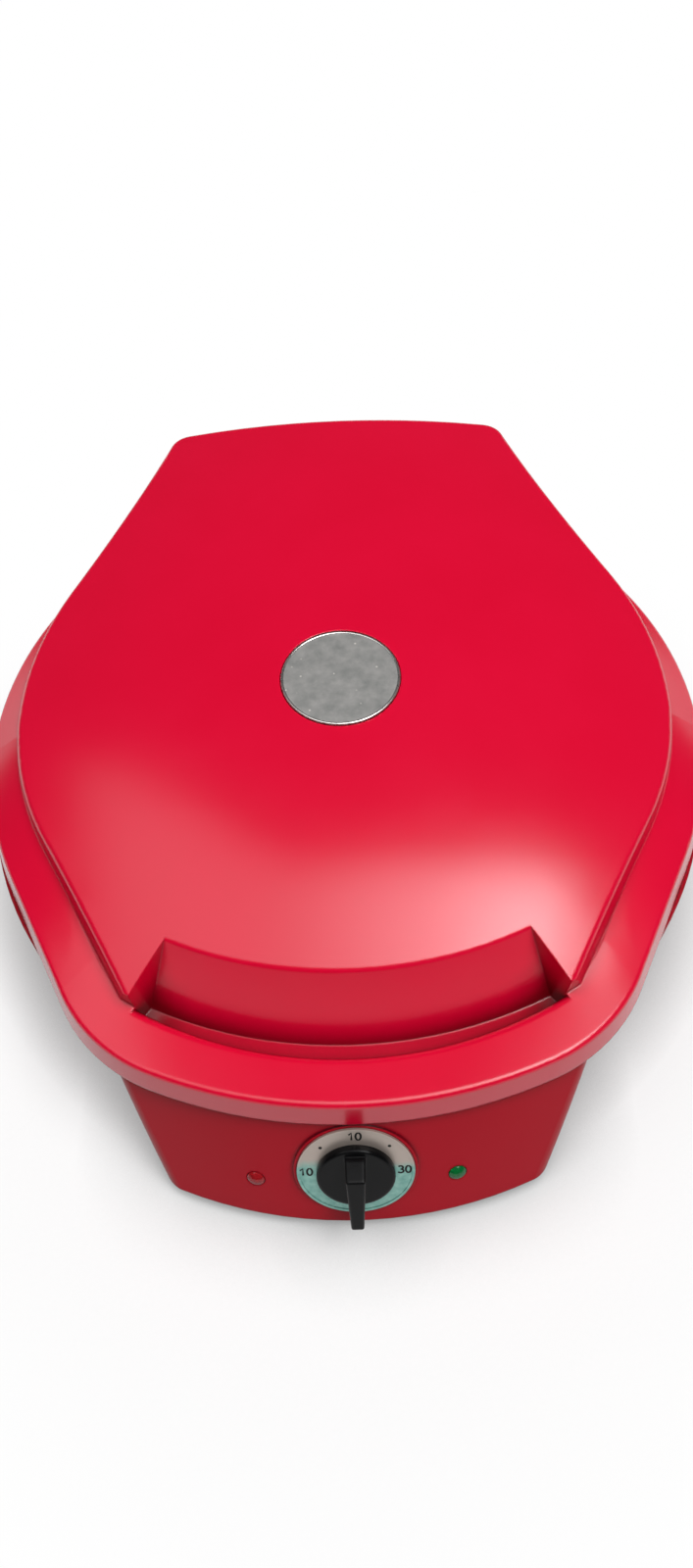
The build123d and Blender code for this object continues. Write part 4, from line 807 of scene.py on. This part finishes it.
def white_paper():
    material, tree, place = new_material("white_matt_paper")
    fibre = add_node(tree, "ShaderNodeTexNoise", {"Scale": every(2), "Detail": 3.0}, Vector=place)
    sheet = add_node(tree, "ShaderNodeMix", blend("#f6f6f6", "#fafafa"), i0=fibre)
    # Painted shadow: Ambient Occlusion darkens the paper's colour close to what stands on it.
    close = add_node(tree, "ShaderNodeAmbientOcclusion", {"samples": 8, "Distance": SHADE_REACH})
    free = add_node(tree, "ShaderNodeMapRange", {"From Min": SHADE_DARK, "From Max": SHADE_CLEAR},
                    Value=close.outputs["AO"])
    shaded = add_node(tree, "ShaderNodeMix", {"data_type": "RGBA", "i6": hex_colour("#4c4c4c")},
                      i0=free, i7=sheet.outputs[2])
    ray = add_node(tree, "ShaderNodeLightPath")
    colour = add_node(tree, "ShaderNodeMix", {"data_type": "RGBA", "i7": hex_colour("#8c8a88")},
                      i0=ray.outputs["Is Diffuse Ray"], i6=shaded.outputs[2])
    lit = add_node(tree, "ShaderNodeBsdfDiffuse", {}, Color=colour.outputs[2])
    even = add_node(tree, "ShaderNodeEmission", {"Color": hex_colour("#ffffff"), "Strength": 1.0})
    oval = add_node(tree, "ShaderNodeMapping", {"Location": PAPER_SHIFT, "Scale": PAPER_SHAPE}, Vector=place)
    away = add_node(tree, "ShaderNodeVectorMath", {"operation": "LENGTH"}, i0=oval)
    far = add_node(tree, "ShaderNodeMapRange", {
        "From Min": PAPER_NEAR, "From Max": PAPER_FAR, "To Min": EVEN_SHARE_NEAR,
        "interpolation_type": "SMOOTHSTEP"}, Value=away.outputs["Value"])
    seen = ray.outputs["Is Camera Ray"]
    for kind in ("Is Glossy Ray", "Is Transmission Ray"):
        seen = add_node(tree, "ShaderNodeMath", {"operation": "ADD", "use_clamp": True},
                        i0=seen, i1=ray.outputs[kind])
    share = add_node(tree, "ShaderNodeMath", {"operation": "MULTIPLY"}, i0=seen, i1=far)
    shader = add_node(tree, "ShaderNodeMixShader", {}, i0=share, i1=lit, i2=even)
    return finish_material(material, shader)


WHITE_PAPER = white_paper()

# %% [markdown]
# One large square is all the floor needs. It reaches far past the picture's edges.

# %% Floor
FLOOR_HALF = 12.0
CORNERS = ((-1, -1), (1, -1), (1, 1), (-1, 1))

floor_mesh = bpy.data.meshes.new("floor")
floor_mesh.from_pydata([(x * FLOOR_HALF, y * FLOOR_HALF, 0) for x, y in CORNERS], [], [(0, 1, 2, 3)])
floor_mesh.materials.append(WHITE_PAPER)
floor = bpy.data.objects.new("floor", floor_mesh)
SCENE.collection.objects.link(floor)
print("floor, m wide:", 2 * FLOOR_HALF)

# %% [markdown]
# The shine on the lid shows what lights it, so the sky is a dome with one painted window. Area lamps
# could do it too, but the seam between two of them would show in the shine. The window's rear edge
# runs just behind the zenith and bends back on the left, its right edge stops about 35 degrees over,
# and it grows brighter towards the right front. All else is dim, which keeps the lid's rear a deep,
# clean red. Directions are flattened like a map seen from the zenith, where 1 is the horizon, across
# runs to the right and back to the rear. First, a direction's place on that map. Adding a hair more
# than 1 keeps the direction straight down from dividing by zero.

# %% Map of the sky
BEND_FROM, BEND = -0.08, 0.8

world = bpy.data.worlds.new("studio_dome")
SCENE.world = world
world.use_nodes = True
sky = world.node_tree
coordinates = add_node(sky, "ShaderNodeTexCoord")
toward = add_node(sky, "ShaderNodeSeparateXYZ", {}, Vector=coordinates.outputs["Generated"])
spread = add_node(sky, "ShaderNodeMath", {"operation": "ADD", "i1": 1.001}, i0=toward.outputs["Z"])
across = add_node(sky, "ShaderNodeMath", {"operation": "DIVIDE"}, i0=toward.outputs["X"], i1=spread)
back = add_node(sky, "ShaderNodeMath", {"operation": "DIVIDE"}, i0=toward.outputs["Y"], i1=spread)
past_bend = add_node(sky, "ShaderNodeMath", {"operation": "SUBTRACT", "i1": BEND_FROM}, i0=across)
on_left = add_node(sky, "ShaderNodeMath", {"operation": "MINIMUM", "i1": 0.0}, i0=past_bend)
bent = add_node(sky, "ShaderNodeMath", {"operation": "MULTIPLY_ADD", "i1": BEND}, i0=on_left, i2=back)
print("map of the sky:", len(sky.nodes), "nodes")

# %% [markdown]
# Every edge of the window is a soft step on that map: what it measures, where it starts and ends, and
# its value there. The first four cut the window out, so they are multiplied. The next three make it
# glow, brightest at the right, so they are added. The last is the dim room round it.

# %% Window in the sky
REAR_EDGE, REAR_SOFT = 0.055, 0.03
WINDOW_STEPS = {
    "rear": (bent, REAR_EDGE - REAR_SOFT, REAR_EDGE + REAR_SOFT, 1.0, 0.0),
    "front": (back, -0.3, -0.18, 0.0, 1.0),
    "left": (across, -0.44, -0.3, 0.0, 1.0),
    "right": (across, 0.25, 0.33, 1.0, 0.0),
    "glow": (across, -0.5, -0.2, 1.3, 1.7),
    "brighter": (across, -0.15, 0.27, 0.0, 5.8),
    "brightest": (across, 0.1, 0.26, 0.0, 5.0),
    "room": (toward.outputs["Y"], -0.6, 0.4, 0.04, 0.06),
}
soft = {}
for name, (measure, start, end, before, after) in WINDOW_STEPS.items():
    soft[name] = add_node(sky, "ShaderNodeMapRange", {
        "From Min": start, "From Max": end, "To Min": before, "To Max": after,
        "interpolation_type": "SMOOTHSTEP"}, Value=measure)

opening, glow = soft["rear"], soft["glow"]
for name in ("front", "left", "right"):
    opening = add_node(sky, "ShaderNodeMath", {"operation": "MULTIPLY"}, i0=opening, i1=soft[name])
for name in ("brighter", "brightest"):
    glow = add_node(sky, "ShaderNodeMath", {"operation": "ADD"}, i0=glow, i1=soft[name])
strength = add_node(sky, "ShaderNodeMath", {"operation": "MULTIPLY_ADD"},
                    i0=opening, i1=glow, i2=soft["room"])
sky.links.new(strength.outputs[0], sky.nodes["Background"].inputs["Strength"])
sky.nodes["Background"].inputs["Color"].default_value = hex_colour("#ffffff")
print("sky:", len(sky.nodes), "nodes")
